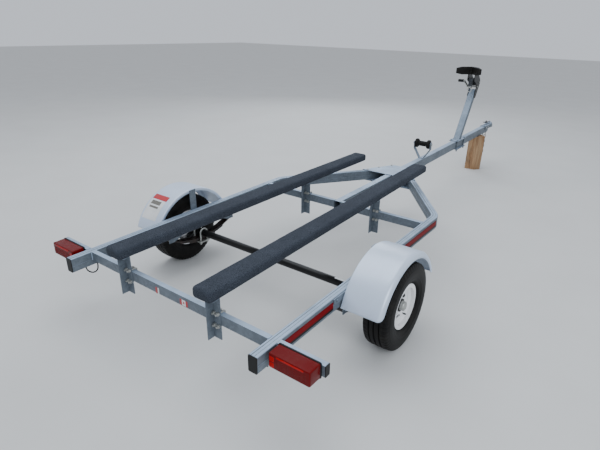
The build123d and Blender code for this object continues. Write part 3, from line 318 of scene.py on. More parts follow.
def rounded_path(corners, radius, steps):
    """A path of straight runs whose corners give way to points on a quadratic blend."""
    corners = np.asarray(corners, float)
    path = [corners[:1]]
    for before, here, after in zip(corners, corners[1:], corners[2:]):
        to_before, to_after = before - here, after - here
        reach = min(radius, np.linalg.norm(to_before) / 2.01, np.linalg.norm(to_after) / 2.01)
        a = here + to_before / np.linalg.norm(to_before) * reach
        b = here + to_after / np.linalg.norm(to_after) * reach
        t = np.linspace(0, 1, steps)[:, None]
        path.append((1 - t) ** 2 * a + 2 * t * (1 - t) * here + t ** 2 * b)
    path.append(corners[-1:])
    return np.concatenate(path)


def bezier(a, b, c, d, steps):
    """A cubic Bezier curve between a and d, drawn towards b and c."""
    t = np.linspace(0, 1, steps)[:, None]
    a, b, c, d = (np.asarray(p, float) for p in (a, b, c, d))
    return (1 - t) ** 3 * a + 3 * (1 - t) ** 2 * t * b + 3 * (1 - t) * t ** 2 * c + t ** 3 * d


def smoothed(share):
    """A share from 0 to 1 eased at both ends: three of its squares less two of its cubes."""
    return share * share * (3 - 2 * share)


def carry(profile, path, side, closed=False, scale=None):
    """A profile carried along a path.

    At each point of the path the profile's first axis lies along side, made square to the path, and its
    second along the path's direction crossed with that. scale grows or shrinks the profile there.
    """
    path = np.asarray(path, float)
    ahead = np.roll(path, -1, 0) - np.roll(path, 1, 0) if closed else np.gradient(path, axis=0)
    ahead /= np.linalg.norm(ahead, axis=1, keepdims=True)
    side = np.broadcast_to(np.asarray(side, float), path.shape)
    side = side - ahead * np.sum(side * ahead, 1, keepdims=True)
    side /= np.linalg.norm(side, axis=1, keepdims=True)
    up = np.cross(side, ahead)
    size = np.ones(len(path)) if scale is None else np.asarray(scale, float)
    outline = np.asarray(profile, float)[None] * size[:, None, None]
    points = path[:, None] + side[:, None] * outline[..., :1] + up[:, None] * outline[..., 1:]
    return skin(points[:, ::-1], wrap_rows=closed, start=not closed, end=not closed)


def turned(profile, centre, steps, closed=True):
    """A profile of (along X, radius) points turned about the X axis through a centre."""
    profile = np.asarray(profile, float)
    angle = np.linspace(0, 2 * np.pi, steps, endpoint=False)[:, None]
    along, radius = profile[:, 0][None, :], profile[:, 1][None, :]
    points = np.stack(np.broadcast_arrays(along, np.cos(angle) * radius, np.sin(angle) * radius), -1)
    return skin(points + np.asarray(centre), wrap_rows=True, wrap_columns=closed)


def outward_turned(profile, outward, centre, steps):
    """An open profile in millimetres, turned about an axis that points away from the trailer's middle."""
    part = turned(profile * (outward, 1) * MM, centre, steps, closed=False)
    return part if outward > 0 else turned_round(part)


def level_turned(profile, centre, steps=48, closed=False):
    """A profile turned about an axis across the trailer, through (ahead, up)."""
    return moved(turned(profile, (0, *centre), steps, closed), space)


def side_plate(outline, centre, x0, x1):
    """An outline of (ahead, up) points round a centre, made solid between two distances from the middle."""
    outline = np.asarray(outline, float) + centre
    rows = np.stack([np.column_stack([np.full(len(outline), x), outline]) for x in sorted((x0, x1))])
    return solid(space(rows))


def bar(width, height, length, corner, edge, middle=2, taper=0.0):
    """A bar along its third axis: rounded rectangles, drawn in at both ends by a quarter circle.

    edge is that circle's radius, and taper how much each half side shrinks for each unit of length.
    """
    turn = np.linspace(0, np.pi / 2, 8)
    between = np.linspace(edge, length - edge, middle + 2)[1:-1]
    along = np.concatenate([edge * (1 - np.cos(turn)), between, length - edge + edge * np.sin(turn)])
    short = np.clip(np.maximum(edge - along, along - length + edge), 0, edge)
    inset = edge * (1 - np.sqrt(np.clip(1 - short ** 2 / edge ** 2, 0, 1))) + taper * along
    half = np.array([width, height]) / 2
    outline = rounded_box(width, height, corner)[None] * ((half - inset[:, None]) / half)[:, None]
    return np.insert(outline, 2, along[:, None], axis=2)


def block(size, corner, edge, origin, up=(0, 0, 1), ahead=(0, -1, 0), **more):
    """The points of a bar from an origin in the level frame, its width across and its length ahead."""
    return space(bar(*size, corner, edge, **more) @ np.array([(1, 0, 0), up, ahead], float) + origin)


def hexagon_bolt(centre, axis, head, height, washer=1.4):
    """A hexagon head on a washer: two rings of six and a disc, stacked along an axis.

    centre is in the level frame, and head and height are in millimetres.
    """
    centre, head, height = space(centre), head * MM, height * MM
    axis = np.asarray(axis, float)
    side = np.cross(axis, (0, 0, 1) if abs(axis[2]) < 0.9 else (1, 0, 0))
    other = np.cross(axis, side)

    def stack(radii, heights, steps):
        flats = [ring(r, steps) @ np.array([side, other]) for r in radii]
        return solid(np.stack([centre + axis * h + flat for flat, h in zip(flats, heights)]))

    thin, disc = height * 0.22, head * washer
    return joined([
        stack((disc, disc * 1.02, disc * 0.98), (0, thin * 0.5, thin), 20),
        stack((head, head, head * 0.82), (thin, height * 0.86, height), 6),
    ])


def weld(start, end, width):
    """A weld bead: a circle carried along a line, rippled by a sine every two thirds of its width."""
    start, end = space(start), space(end)
    span = np.linalg.norm(end - start)
    t = np.linspace(0, 1, max(12, int(span / width * 6)))
    swell = 1 + 0.18 * np.sin(t * span / width * 1.5 * 2 * np.pi)
    swell *= np.sqrt(np.clip(1 - (2 * t - 1) ** 8, 0.05, 1))
    direction = end - start
    side = np.cross(direction, (0.3, 0.2, 1.0))
    return carry(ring(width / 2, 8), start + t[:, None] * direction, side, scale=swell)


def piece(name, part, look, body="frame", replaces=(), sharp=35, bevel=0.0):
    """Puts a skin into the scene as an object that rides on a body.

    look names its finish.
    """
    points, faces, uv = part
    mesh = bpy.data.meshes.new(name)
    mesh.from_pydata(points.tolist(), [], faces)
    corners = np.empty(len(mesh.loops), int)
    mesh.loops.foreach_get("vertex_index", corners)
    layer = mesh.uv_layers.new(name="UVMap")
    layer.data.foreach_set("uv", uv[corners].astype(np.float32).ravel())
    mesh.polygons.foreach_set("use_smooth", np.ones(len(faces), bool))
    mesh.set_sharp_from_angle(angle=math.radians(sharp))
    mesh.materials.append(finish(look))
    obj = bpy.data.objects.new(name, mesh)
    bpy.context.scene.collection.objects.link(obj)
    if bevel:
        edge = obj.modifiers.new("Bevel", "BEVEL")
        edge.width, edge.segments, edge.harden_normals = bevel * MM, 2, True
        edge.limit_method, edge.angle_limit = "ANGLE", math.radians(40)
    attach(obj, body)
    if replaces:
        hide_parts(*replaces)
    return obj


def thicken(obj, name, thickness, offset):
    """Gives a sheet its wall, in millimetres: offset -1 grows it inwards and 0 both ways."""
    wall = obj.modifiers.new(name, "SOLIDIFY")
    wall.thickness, wall.offset = thickness * MM, offset


# Finishes

class Surface:
    """A material in the making: its node tree, its object coordinates and its shader."""

    def __init__(self, name, sockets):
        plain = bpy.data.materials.get(name)
        if plain:
            plain.name = name + "_plain"
        self.material = bpy.data.materials.new(name)
        self.material.use_nodes = True
        self.tree = self.material.node_tree
        self.tree.nodes.clear()
        self.place = self.add("TexCoord").outputs["Object"]
        self.shader = self.add("BsdfPrincipled", sockets)
        self.add("OutputMaterial", (self.shader,))

    def give(self, node, inputs):
        """Gives each input a value, a palette colour by its name, or another node's output.

        A node stands for its first output in use.
        """
        for key, value in inputs.items():
            if isinstance(value, str):
                value = getattr(bpy.context.scene.trailer_colours, value)
            if isinstance(value, bpy.types.Node):
                value = next(socket for socket in value.outputs if socket.enabled)
            if isinstance(value, bpy.types.NodeSocket):
                self.tree.links.new(value, node.inputs[key])
            else:
                node.inputs[key].default_value = value
        return node

    def add(self, kind, inputs=(), **settings):
        """Adds a node with its settings and inputs. A texture lies on the object unless told otherwise."""
        made = self.tree.nodes.new("ShaderNode" + kind)
        for key, value in settings.items():
            setattr(made, key, value)
        inputs = dict(inputs) if isinstance(inputs, dict) else dict(enumerate(inputs))
        if kind in ("TexNoise", "TexVoronoi", "TexWave"):
            inputs.setdefault("Vector", self.place)
        return self.give(made, inputs)

    def layer(self, field, limits, strengths, under, over):
        """One colour over another as a field says: the mixed colour and the upper one's share."""
        share = self.add("MapRange", (field, *limits, *strengths))
        return self.add("Mix", {0: share, 6: under, 7: over}, data_type="RGBA"), share

    def close(self, base, gloss=None, height=None, strength=0.0, depth=0.0, under=None):
        """Joins colour, roughness (a range's five values) and relief to the shader.

        under is the normal that the relief starts from: another relief, or the radius that softens the edges.
        """
        ends = {"Base Color": base}
        if gloss:
            ends["Roughness"] = self.add("MapRange", gloss)
        if height is not None:
            relief = {"Strength": strength, "Distance": depth, "Height": height}
            if under is not None:
                softened = isinstance(under, float)
                relief["Normal"] = self.add("Bevel", {"Radius": under}, samples=4) if softened else under
            ends["Normal"] = self.add("Bump", relief)
        self.give(self.shader, ends)


def galvanised(metal):
    """Zinc crystals 12 to 18 mm across over slow clouds, with a pale tone where the face looks up: bloom, and
    painted top light.
    """
    crystals = metal.add("TexVoronoi", {"Scale": 68})
    clouds = metal.add("TexNoise", {"Scale": 7, "Detail": 6, "Roughness": 0.62})
    lumps = metal.add("TexNoise", {"Scale": 45, "Detail": 3})
    spangle = metal.add("Math", (crystals.outputs["Color"], 0.34, 0.1), operation="MULTIPLY_ADD")
    spangle = metal.add("Math", (spangle, clouds), operation="ADD")
    base, share = metal.layer(spangle, (0.4, 0.95), (0, 1), "zinc_dark", "zinc")
    # Painted top light: faces that look up are mixed towards the pale zinc tone, in clouds that also stand for
    # bloom
    facing = metal.add("SeparateXYZ", (metal.add("TexCoord").outputs["Normal"],))
    upper = metal.add("MapRange", (facing.outputs["Z"], 0.25, 0.9))
    bloom = metal.add("MapRange", (clouds, 0.3, 0.7, 0.55, 0.95))
    bloom = metal.add("Math", (bloom, upper), operation="MULTIPLY")
    base = metal.add("Mix", {0: bloom, 6: base, 7: "bloom"}, data_type="RGBA")
    metal.close(base, (share, 0, 1, 0.62, 0.48), lumps, 0.22, 0.0008, 0.0012)


def hardware(metal):
    """Bright plate with grime in small spots, which are rougher."""
    spots = metal.add("TexNoise", {"Scale": 60, "Detail": 5, "Roughness": 0.7})
    base, _ = metal.layer(spots, (0.55, 0.75), (0, 0.7), "plated", "grime")
    metal.close(base, (spots, 0.3, 0.75, 0.28, 0.58), spots, 0.15, 0.0004, 0.0008)


def sprayed(paint, ground, dirt, low, high, reach=0.35, film=0.25, peel=0.0006):
    """An even ground with the skin of an orange, and dirt in soft clouds that thickens towards the floor.

    low and high are the clean and the dirty roughness. film is how much of the dirt's colour the thickest
    clouds have, reach how much more comes near the floor, and peel the skin's depth in metres.
    """
    grain = paint.add("TexNoise", {"Scale": 190, "Detail": 2})
    clouds = paint.add("TexNoise", {"Scale": 11, "Detail": 7, "Roughness": 0.65})
    height = paint.add("SeparateXYZ", (paint.place,))
    near_floor = paint.add("MapRange", (height.outputs["Z"], 0.6, 0.1, 0, reach))
    share = paint.add("MapRange", (clouds, 0.42, 0.8, 0, film))
    share = paint.add("Math", (near_floor, clouds, share), operation="MULTIPLY_ADD")
    base = paint.add("Mix", {0: share, 6: ground, 7: dirt}, data_type="RGBA", clamp_factor=True)
    paint.close(base, (share, 0, 1, low, high), grain, 0.1, peel, 0.001)
    return base


def enamelled(wheel, *values):
    """Sprayed, and black inside the wheel, inboard of the disc and within the rim's well: painted shade, so the
    vents look dark.
    """
    enamel = sprayed(wheel, *values)
    place = wheel.add("TexCoord").outputs["Object"]
    across = wheel.add("Math", (wheel.add("SeparateXYZ", (place,)),), operation="ABSOLUTE")
    spoke = wheel.add("VectorMath", (place, WHEEL), operation="SUBTRACT")
    spoke = wheel.add("VectorMath", (spoke, (0, 1, 1)), operation="MULTIPLY")
    radius = wheel.add("VectorMath", (spoke,), operation="LENGTH")
    disc = WHEEL[0] + DISC_PLANE * MM
    inboard = wheel.add("MapRange", (across, disc, disc + 0.002, 1, 0))
    within = wheel.add("MapRange", (radius, DISC_R[0] * MM, DISC_R[1] * MM, 1, 0))
    # Painted shade: the inside of the wheel is black
    painted_shade_inside = wheel.add("Math", (inboard, within), operation="MULTIPLY")
    wheel.close(wheel.add("Mix", {0: painted_shade_inside, 6: enamel, 7: "black"}, data_type="RGBA"))


def moulded(plastic):
    """A fine grain under a faint grey haze."""
    grain = plastic.add("TexNoise", {"Scale": 900, "Detail": 2})
    haze = plastic.add("TexNoise", {"Scale": 20, "Detail": 5})
    base, _ = plastic.layer(haze, (0.4, 0.8), (0, 0.08), "plastic", "dust")
    plastic.close(base, (haze, 0, 1, 0.38, 0.62), grain, 0.15, 0.0002, 0.001)


def rubber(gum, dusty, low, high):
    """Near black and matt, with dust rubbed into its pores in patches."""
    pores = gum.add("TexNoise", {"Scale": 420, "Detail": 3})
    patches = gum.add("TexNoise", {"Scale": 14, "Detail": 7, "Roughness": 0.7})
    base, share = gum.layer(patches, (0.38, 0.78), (0.03, dusty), "rubber", "dust")
    gum.close(base, (share, 0, 1, low, high), pores, 0.25, 0.0004, 0.0012)


def carpet(felt):
    """Pale tufts on a dark felt, fewer where it is worn, with single fibres standing on them."""
    tufts = felt.add("TexNoise", {"Scale": 300, "Detail": 4, "Roughness": 0.8})
    worn = felt.add("TexNoise", {"Scale": 9, "Detail": 5, "Roughness": 0.6})
    fibre = felt.add("TexVoronoi", {"Scale": 420})
    share = felt.add("MapRange", (tufts, 0.38, 0.7, 0.05, 0.72))
    lift = felt.add("MapRange", (worn, 0.35, 0.75, 0.75, 1))
    share = felt.add("Math", (share, lift), operation="MULTIPLY")
    base = felt.add("Mix", {0: share, 6: "carpet", 7: "carpet_fleck"}, data_type="RGBA")
    under = felt.add("Bump", {"Strength": 0.7, "Distance": 0.0012, "Height": tufts})
    felt.close(base, None, fibre, 0.4, 0.0008, under)


def prisms(acrylic, tint, scale):
    """Upright prisms inside the acrylic, with painted shade between them, under a thin film of dust."""
    ribs = acrylic.add("TexWave", {"Scale": scale}, bands_direction="X").outputs["Fac"]
    depth = acrylic.add("TexNoise", {"Scale": 25, "Detail": 3})
    # Painted shade between the ribs
    base, _ = acrylic.layer(ribs, (0, 1), (0, 0.45), tint, "lens_deep")
    base, _ = acrylic.layer(depth, (0.5, 0.8), (0, 0.06), base, "dust")
    acrylic.close(base, None, ribs, 0.5, 0.0007)


def honeycomb(film):
    """Cells 3 mm across, drawn at twice their size, with dark borders and worn patches."""
    cells = film.add("TexVoronoi", {"Scale": 150, "Randomness": 0.15}, feature="DISTANCE_TO_EDGE")
    wear = film.add("TexNoise", {"Scale": 13, "Detail": 6})
    base, _ = film.layer(cells, (0.02, 0.12), (0.4, 0), "tape", "lens_deep")
    film.close(film.layer(wear, (0.5, 0.85), (0, 0.12), base, "dust")[0])


def woven(strap):
    """A twill in the strap's own length and width: warp threads every 3 mm times a diagonal weft."""
    uv = strap.add("TexCoord").outputs["UV"]
    warp = strap.add("TexWave", {"Vector": uv, "Scale": 100, "Distortion": 0.6}, bands_direction="X")
    weft = strap.add("TexWave", {"Vector": uv, "Scale": 90}, bands_direction="DIAGONAL")
    height = strap.add("Math", (warp.outputs["Fac"], weft.outputs["Fac"]), operation="MULTIPLY")
    worn = strap.add("TexNoise", {"Scale": 40, "Detail": 4})
    share = strap.add("Math", (height, worn), operation="MULTIPLY")
    base = strap.add("Mix", {0: share, 6: "webbing", 7: "carpet_fleck"}, data_type="RGBA")
    strap.close(base, None, height, 0.6, 0.0006)


def fibrous(wood):
    """Noise stretched along the log: grain lines 4 to 8 mm apart, broad pale bands, and grey patches."""
    long_way = wood.add("Mapping", {"Vector": wood.place, "Scale": (1, 1, 0.07)})
    fibres = wood.add("TexNoise", {"Vector": long_way, "Scale": 130, "Detail": 6, "Roughness": 0.7})
    bands = wood.add("TexNoise", {"Vector": long_way, "Scale": 30, "Detail": 3})
    grey = wood.add("TexNoise", {"Scale": 9, "Detail": 4})
    base, _ = wood.layer(fibres, (0.35, 0.7), (0, 1), "wood_dark", "wood")
    base, _ = wood.layer(bands, (0.45, 0.75), (0, 0.5), base, "wood_pale")
    base, _ = wood.layer(grey, (0.5, 0.8), (0, 0.5), base, "dust")
    wood.close(base, None, fibres, 0.8, 0.002)


def plated_bark(bark):
    """Cells stretched along the log: rough plates a finger wide, with black in the cracks between them: darker
    bark, and painted shade.
    """
    long_way = bark.add("Mapping", {"Vector": bark.place, "Scale": (1, 1, 0.3)})
    plates = bark.add("TexVoronoi", {"Vector": long_way, "Scale": 60}, feature="DISTANCE_TO_EDGE")
    rough = bark.add("TexNoise", {"Scale": 160, "Detail": 6})
    # Black in the cracks: darker bark, and painted shade in the recesses
    base, share = bark.layer(plates, (0, 0.18), (0, 1), "black", "bark")
    height = bark.add("Math", (rough, 0.3, share), operation="MULTIPLY_ADD")
    bark.close(base, None, height, 1.0, 0.003)


def screed(floor):
    """The faintest mottling."""
    clouds = floor.add("TexNoise", {"Scale": 2, "Detail": 5})
    floor.close(floor.layer(clouds, (0, 1), (0, 0.12), "floor", "dust")[0])


CLEAR = {"Coat Weight": 0.2}
ENAMEL = {"Coat Weight": 0.3, "Coat Roughness": 0.2}
FLAKE = {"Metallic": 0.25, "Coat Weight": 0.2, "Coat Roughness": 0.3}
DULL = {"Specular IOR Level": 0.3}
GUM = {"Specular IOR Level": 0.14}
FELT = {"Roughness": 0.95, "Specular IOR Level": 0.05, "Sheen Weight": 0.03, "Sheen Roughness": 0.6}
ACRYLIC = {"Roughness": 0.22, "Specular IOR Level": 0.14}
FILM = {"Metallic": 0.1, "Roughness": 0.5, "Specular IOR Level": 0.1}

# Each finish by its name: how it is made, its shader's sockets and the maker's values
RECIPES = {
    # Hot-dip galvanised steel: a faint patchwork, lumpy from the dip, with a pale blue-white tone on top: bloom,
    # and painted top light
    "galvanised_steel": (galvanised, {"Metallic": 0.35}, ()),
    # Zinc-plated bolts and clamps: brighter than the dipped frame, with dull brown spots
    "zinc_hardware": (hardware, {"Metallic": 0.85}, ()),
    # Aluminium-flake paint on steel sheet: soft, pale and slightly pearly under a thin clear coat
    "fender_silver": (sprayed, FLAKE, ("silver", "grime", 0.34, 0.5, 0.04, 0.08)),
    # Baked white enamel on pressed steel: hard and even, with road film, and black inside for painted shade
    "wheel_white": (enamelled, ENAMEL, ("white", "dust", 0.3, 0.6, 0.08, 0.06)),
    # Black chassis paint: semi-gloss where it is sound, brown-grey where dust has settled
    "black_paint": (sprayed, DULL, ("black", "dust", 0.3, 0.55, 0.02, 0.06)),
    # The same paint on the hubs, with more road dirt
    "hub_black": (sprayed, DULL, ("black", "dust", 0.4, 0.8, 0.04, 0.08)),
    # Painted spring leaves, whose edges have begun to rust
    "spring_steel": (sprayed, {}, ("black", "rust", 0.45, 0.85, 0.1, 0.2)),
    # Injection-moulded black plastic, hazed by the sun
    "black_plastic": (moulded, {"Specular IOR Level": 0.25}, ()),
    # Vulcanised road tyre: black under dust
    "tyre": (rubber, GUM, (0.16, 0.5, 0.85)),
    # Moulded keel roller, scuffed by the hull
    "roller_rubber": (rubber, GUM, (0.14, 0.5, 0.8)),
    # Moulded bow stop, cleaner than the rest
    "black_rubber": (rubber, GUM, (0.14, 0.45, 0.7)),
    # Extruded vinyl cable sheath, smooth
    "cable": (rubber, GUM, (0.12, 0.35, 0.55)),
    # Needle-punched polypropylene carpet: dark, with pale tufts 2 to 4 mm across for its finer fibres
    "bunk_carpet": (carpet, FELT, ()),
    # Injection-moulded red acrylic: glossy, its light broken up in upright ribs
    "lamp_lens": (prisms, ACRYLIC, ("lens", 55)),
    # The same acrylic over bright squares, with finer prisms
    "lamp_reflector": (prisms, ACRYLIC, ("lens_light", 140)),
    # Retro-reflective tape: red film over a honeycomb
    "red_reflective": (honeycomb, FILM, ()),
    # Woven polyester strap: matt, with a furry edge to the light
    "webbing": (woven, {"Roughness": 0.85, "Sheen Weight": 0.3}, ()),
    # Zinc-plated winch parts with a film of old grease
    "winch_metal": (sprayed, {"Metallic": 0.8}, ("plated", "grime", 0.32, 0.6, 0)),
    # Bright zinc-plated chain wire, rusting near the floor
    "chain_steel": (sprayed, {"Metallic": 0.85}, ("plated", "rust", 0.3, 0.7, 0.25)),
    # Split firewood: long fibres, weathered grey in patches
    "split_wood": (fibrous, {"Roughness": 0.82, "Specular IOR Level": 0.25}, ()),
    # Bark left on the log's round side: plates split by dark cracks
    "bark": (plated_bark, {"Roughness": 0.92, "Specular IOR Level": 0.2}, ()),
    # Printed vinyl, smooth and a little yellowed: a label's ground, its red and its grey block of print
    "label_vinyl": (sprayed, CLEAR, ("label", "grime", 0.4, 0.6, 0, 0.25, 0.0002)),
    "label_red": (sprayed, CLEAR, ("label_band", "grime", 0.4, 0.6, 0, 0.25, 0.0002)),
    "label_print": (sprayed, CLEAR, ("grime", "grime", 0.4, 0.6, 0, 0.25, 0.0002)),
    # The seam of a rolled tube, where the zinc is thin: dull and darker than the faces beside it
    "mill_seam": (sprayed, {"Metallic": 0.4}, ("zinc_dark", "grime", 0.5, 0.7, 0)),
    # Zinc-rich paint on the welds, brighter than the dipped steel round them
    "weld_zinc": (sprayed, {"Metallic": 0.4}, ("bloom", "plated", 0.4, 0.6, 0)),
    # The stage's floor: pale screed
    "floor_screed": (screed, {"Roughness": 0.9, "Specular IOR Level": 0.2}, ()),
}
MADE = {}


def finish(name):
    """The finish of that name, made on its first use."""
    if name not in MADE:
        maker, sockets, values = RECIPES[name]
        MADE[name] = Surface(name, sockets)
        maker(MADE[name], *values)
    return MADE[name].material


# Bunks

def bunk_skin(pile):
    """A carpeted board: rounded rectangles along the bunk's line, drawn in by the board's round ends.

    The half width at an end follows a quarter circle of the corner's radius, the half height one of the
    edge's radius, and the top rises and dips by two crossed sines of a third of the pile.
    """
    (x0, y0), (x1, y1) = BUNK_RUN
    width, height = BUNK_SIZE
    corner, edge = BUNK_ROUNDS
    run = math.hypot(x1 - x0, y1 - y0)
    near = np.array([0, 0.6, 1.6, 3, 5, 8, 12, 16, 20, 24, 29])
    d = np.concatenate([near, np.linspace(34, run - 34, 150), run - near[::-1]])
    from_end = np.minimum(d, run - d)
    half_width = width / 2 - corner + np.sqrt(corner ** 2 - np.clip(corner - from_end, 0, corner) ** 2)
    half_height = height / 2 - edge + np.sqrt(edge ** 2 - np.clip(edge - from_end, 0, edge) ** 2)
    outline = rounded_box(width, height, edge, 7)
    across = outline[None, :, 0] * (half_width / (width / 2))[:, None]
    up = outline[None, :, 1] * (half_height / (height / 2))[:, None]
    wave = np.sin(d / 47)[:, None] * np.sin(across / 21 + d[:, None] / 160) + 0.6 * np.sin(d / 13)[:, None]
    up = up + np.where(up > 0, wave * pile / MM / 3, wave * pile / MM / 6)
    side = np.array([(y1 - y0) / run, -(x1 - x0) / run])
    ahead = np.array([(x1 - x0) / run, (y1 - y0) / run])
    points = np.empty((*across.shape, 3))
    points[..., 0] = x0 + ahead[0] * d[:, None] + side[0] * across
    points[..., 1] = y0 + ahead[1] * d[:, None] + side[1] * across
    points[..., 2] = BUNK_TOP - height / 2 + up
    return solid(space(points))


class TRAILER_OT_bunks(bpy.types.Operator):
    """Lays the two carpeted bunks on their brackets"""

    bl_idname = "trailer.bunks"
    bl_label = "Bunks"

    def execute(self, context):
        right = bunk_skin(context.scene.trailer_sizes.carpet_pile)
        for side, _, turn in SIDES:
            name = "bunk_" + side
            made = piece(name + "_carpet", turn(right), "bunk_carpet", replaces=[name], sharp=60)
        return {"FINISHED"}


# Wheels

def tyre_skin(sizes, outward):
    """A tyre about the wheel's axis.

    The tread is a shallow crown with three grooves, the sidewalls are Bezier curves with raised rings, and
    the shoulders are notched: their radius drops by the notch's depth in two of every six steps round.
    """
    outer = TYRE_R
    groove, notch = sizes.tread_depth / MM, sizes.sipe_depth / MM
    half = np.array([2.2, 3, 4.2, 12, 22.8, 24, 24.8, 29.2, 30, 31.2, 38, 45, 51, 54])
    x = np.concatenate([-half[::-1], half])
    gap = np.abs(x[:, None] - np.array([-27, 0, 27])).min(1)
    tread = np.column_stack([x, outer - 3 * (x / 54) ** 2 - groove * np.clip((3.9 - gap) / 1.4, 0, 1)])
    shoulder = bezier((54, outer - 3), (60.5, outer - 4), (65, outer - 14), (68, outer - 26), 9)[1:]
    wall = bezier((68, outer - 26), (73.3, outer - 46), (73.3, outer - 72), (60, outer - 97), 26)[1:]
    foot = bezier((60, outer - 97), (56, outer - 103), (50.5, outer - 106), (48, outer - 108), 6)[1:]
    half = np.concatenate([shoulder, wall, foot, [(47.8, 104.5), (46, 102.4)]])
    for at, high, wide in ((154, 0.9, 1.5), (176, 0.5, 1.1), (197, 0.8, 1.6), (135, 1.2, 2.2)):
        half[:, 0] += high * np.exp(-((half[:, 1] - at) / wide) ** 2)
    half[:, 0] = np.minimum(half[:, 0], TYRE_HALF)
    profile = np.concatenate([half[::-1] * (-1, 1), tread, half])
    steps = np.arange(sizes.sipes * 6)
    angle = np.linspace(0, 2 * np.pi, len(steps), endpoint=False)[:, None]
    in_notch, offset = (np.isin((steps + shift) % 6, (0, 1)).astype(float)[:, None] for shift in (0, 3))
    across, r = profile[:, 0], profile[:, 1]
    reach = np.clip((np.abs(across) - 36) / 6, 0, 1) * (r > outer - 24)
    radius = r[None, :] - notch * reach * np.where(across[None] > 0, in_notch, offset)
    points = np.empty((*radius.shape, 3))
    points[..., 0] = outward * WHEEL[0] / MM + across
    points[..., 1] = WHEEL[1] / MM + np.cos(angle) * radius
    points[..., 2] = WHEEL[2] / MM + np.sin(angle) * radius
    return skin(points * MM, wrap_rows=True)


class TRAILER_OT_tyres(bpy.types.Operator):
    """Fits the tyres, with grooved treads, notched shoulders and ringed walls, and the valve stems"""

    bl_idname = "trailer.tyres"
    bl_label = "Tyres"

    def execute(self, context):
        sizes = context.scene.trailer_sizes
        stem = np.array([(0, 4.6), (2, 4.6), (6, 3.6), (17, 3.2), (18, 4), (28, 4), (29, 3), (29, 0.1)])
        for side, outward, _ in SIDES:
            wheel, replaced = "wheel_" + side, ["tyre_" + side]
            piece("tread_" + side, tyre_skin(sizes, outward), "tyre", wheel, replaces=replaced, sharp=28)
            centre = (WHEEL + metres(np.array(VALVE_PLACE))) * (outward, 1, 1)
            piece("valve_" + side, outward_turned(stem, outward, centre, 16), "black_rubber", wheel)
        return {"FINISHED"}


class TRAILER_OT_hubs(bpy.types.Operator):
    """Presses the plated dust caps over the hubs' ends"""

    bl_idname = "trailer.hubs"
    bl_label = "Hub caps"

    def execute(self, context):
        shell = np.concatenate([
            [(30.2, 0.5), (30.2, 24.2), (31.0, 24.8), (32.0, 24.9), (33.0, 24.4), (44.5, 24.4)],
            bezier((44.5, 24.4), (50.5, 24.2), (54.4, 16), (54.6, 0.05), 12),
        ])
        for side, outward, _ in SIDES:
            cap = outward_turned(shell, outward, WHEEL * (outward, 1, 1), 40)
            piece("dust_cap_" + side, cap, "zinc_hardware", "wheel_" + side, sharp=40)
        return {"FINISHED"}


# Fenders

def fender_sheet():
    """The fender's sheet: its section carried round an arc about the fender's centre.

    The section runs up the inner flange, across the top, round the lip's quarter circle and down the lip.
    The arc ends sooner near the lip, by a quarter circle, so that the sheet's outer corners are round.
    """
    inner, outer, radius, half_arc = FENDER_SIZE
    turn = np.linspace(0, np.pi / 2, 9)
    bend, start = outer - FENDER_LIP, inner + FENDER_ROLL
    lip = np.column_stack([bend + FENDER_LIP * np.sin(turn), radius - FENDER_LIP * (1 - np.cos(turn))])
    top = np.column_stack([np.linspace(start, bend, 16)[:-1], np.full(15, radius)])
    roll = np.column_stack([start - FENDER_ROLL * np.sin(turn), radius - FENDER_ROLL * (1 - np.cos(turn))])
    foot = [(outer, radius - 24), (outer, radius - 27)]
    section = np.concatenate([[(inner, radius - 20)], roll[::-1], top[1:], lip, foot])
    gone = np.linalg.norm(np.diff(section, axis=0, prepend=section[:1]), axis=1).cumsum()
    short = np.clip(FENDER_CORNER - (gone[-1] - gone), 0, FENDER_CORNER)
    cut = FENDER_CORNER - np.sqrt(np.clip(FENDER_CORNER ** 2 - short ** 2, 0, None))
    angle = np.linspace(-1, 1, 121)[:, None] * (math.radians(half_arc) - cut / radius)[None, :]
    y, z = FENDER_CENTRE
    points = np.empty((121, len(section), 3))
    points[..., 0] = section[:, 0]
    points[..., 1] = y + section[:, 1] * np.sin(angle)
    points[..., 2] = z + section[:, 1] * np.cos(angle)
    return points


class TRAILER_OT_fenders(bpy.types.Operator):
    """Bends the two sheet fenders, each with a rolled edge"""

    bl_idname = "trailer.fenders"
    bl_label = "Fenders"

    def execute(self, context):
        bead = context.scene.trailer_sizes.fender_bead / MM
        outer = FENDER_SIZE[1]
        grid = fender_sheet()
        sheet = skin(space(grid), wrap_columns=False)
        edge = np.concatenate([grid[0, 2:], grid[1:-1, -1], grid[-1, ::-1][:-2]])
        spoke = edge - np.array([0, *FENDER_CENTRE])
        middle = edge - spoke * (0, 1, 1) / np.linalg.norm(spoke[:, 1:], axis=1, keepdims=True) * bead
        middle[:, 0] -= bead * np.clip((edge[:, 0] - outer + FENDER_LIP) / FENDER_LIP, 0, 1)
        rim = moved(carry(ring(bead, 10), space(middle) / MM, (0.3, 0.1, 1.0)), metres)
        for side, _, turn in SIDES:
            replaced = ["fender_" + side]
            made = piece("fender_sheet_" + side, turn(sheet), "fender_silver", replaces=replaced, sharp=50)
            thicken(made, "Sheet", FENDER_SHEET, -1)
            piece("fender_bead_" + side, turn(rim), "fender_silver", sharp=60)
        return {"FINISHED"}


# Lamps

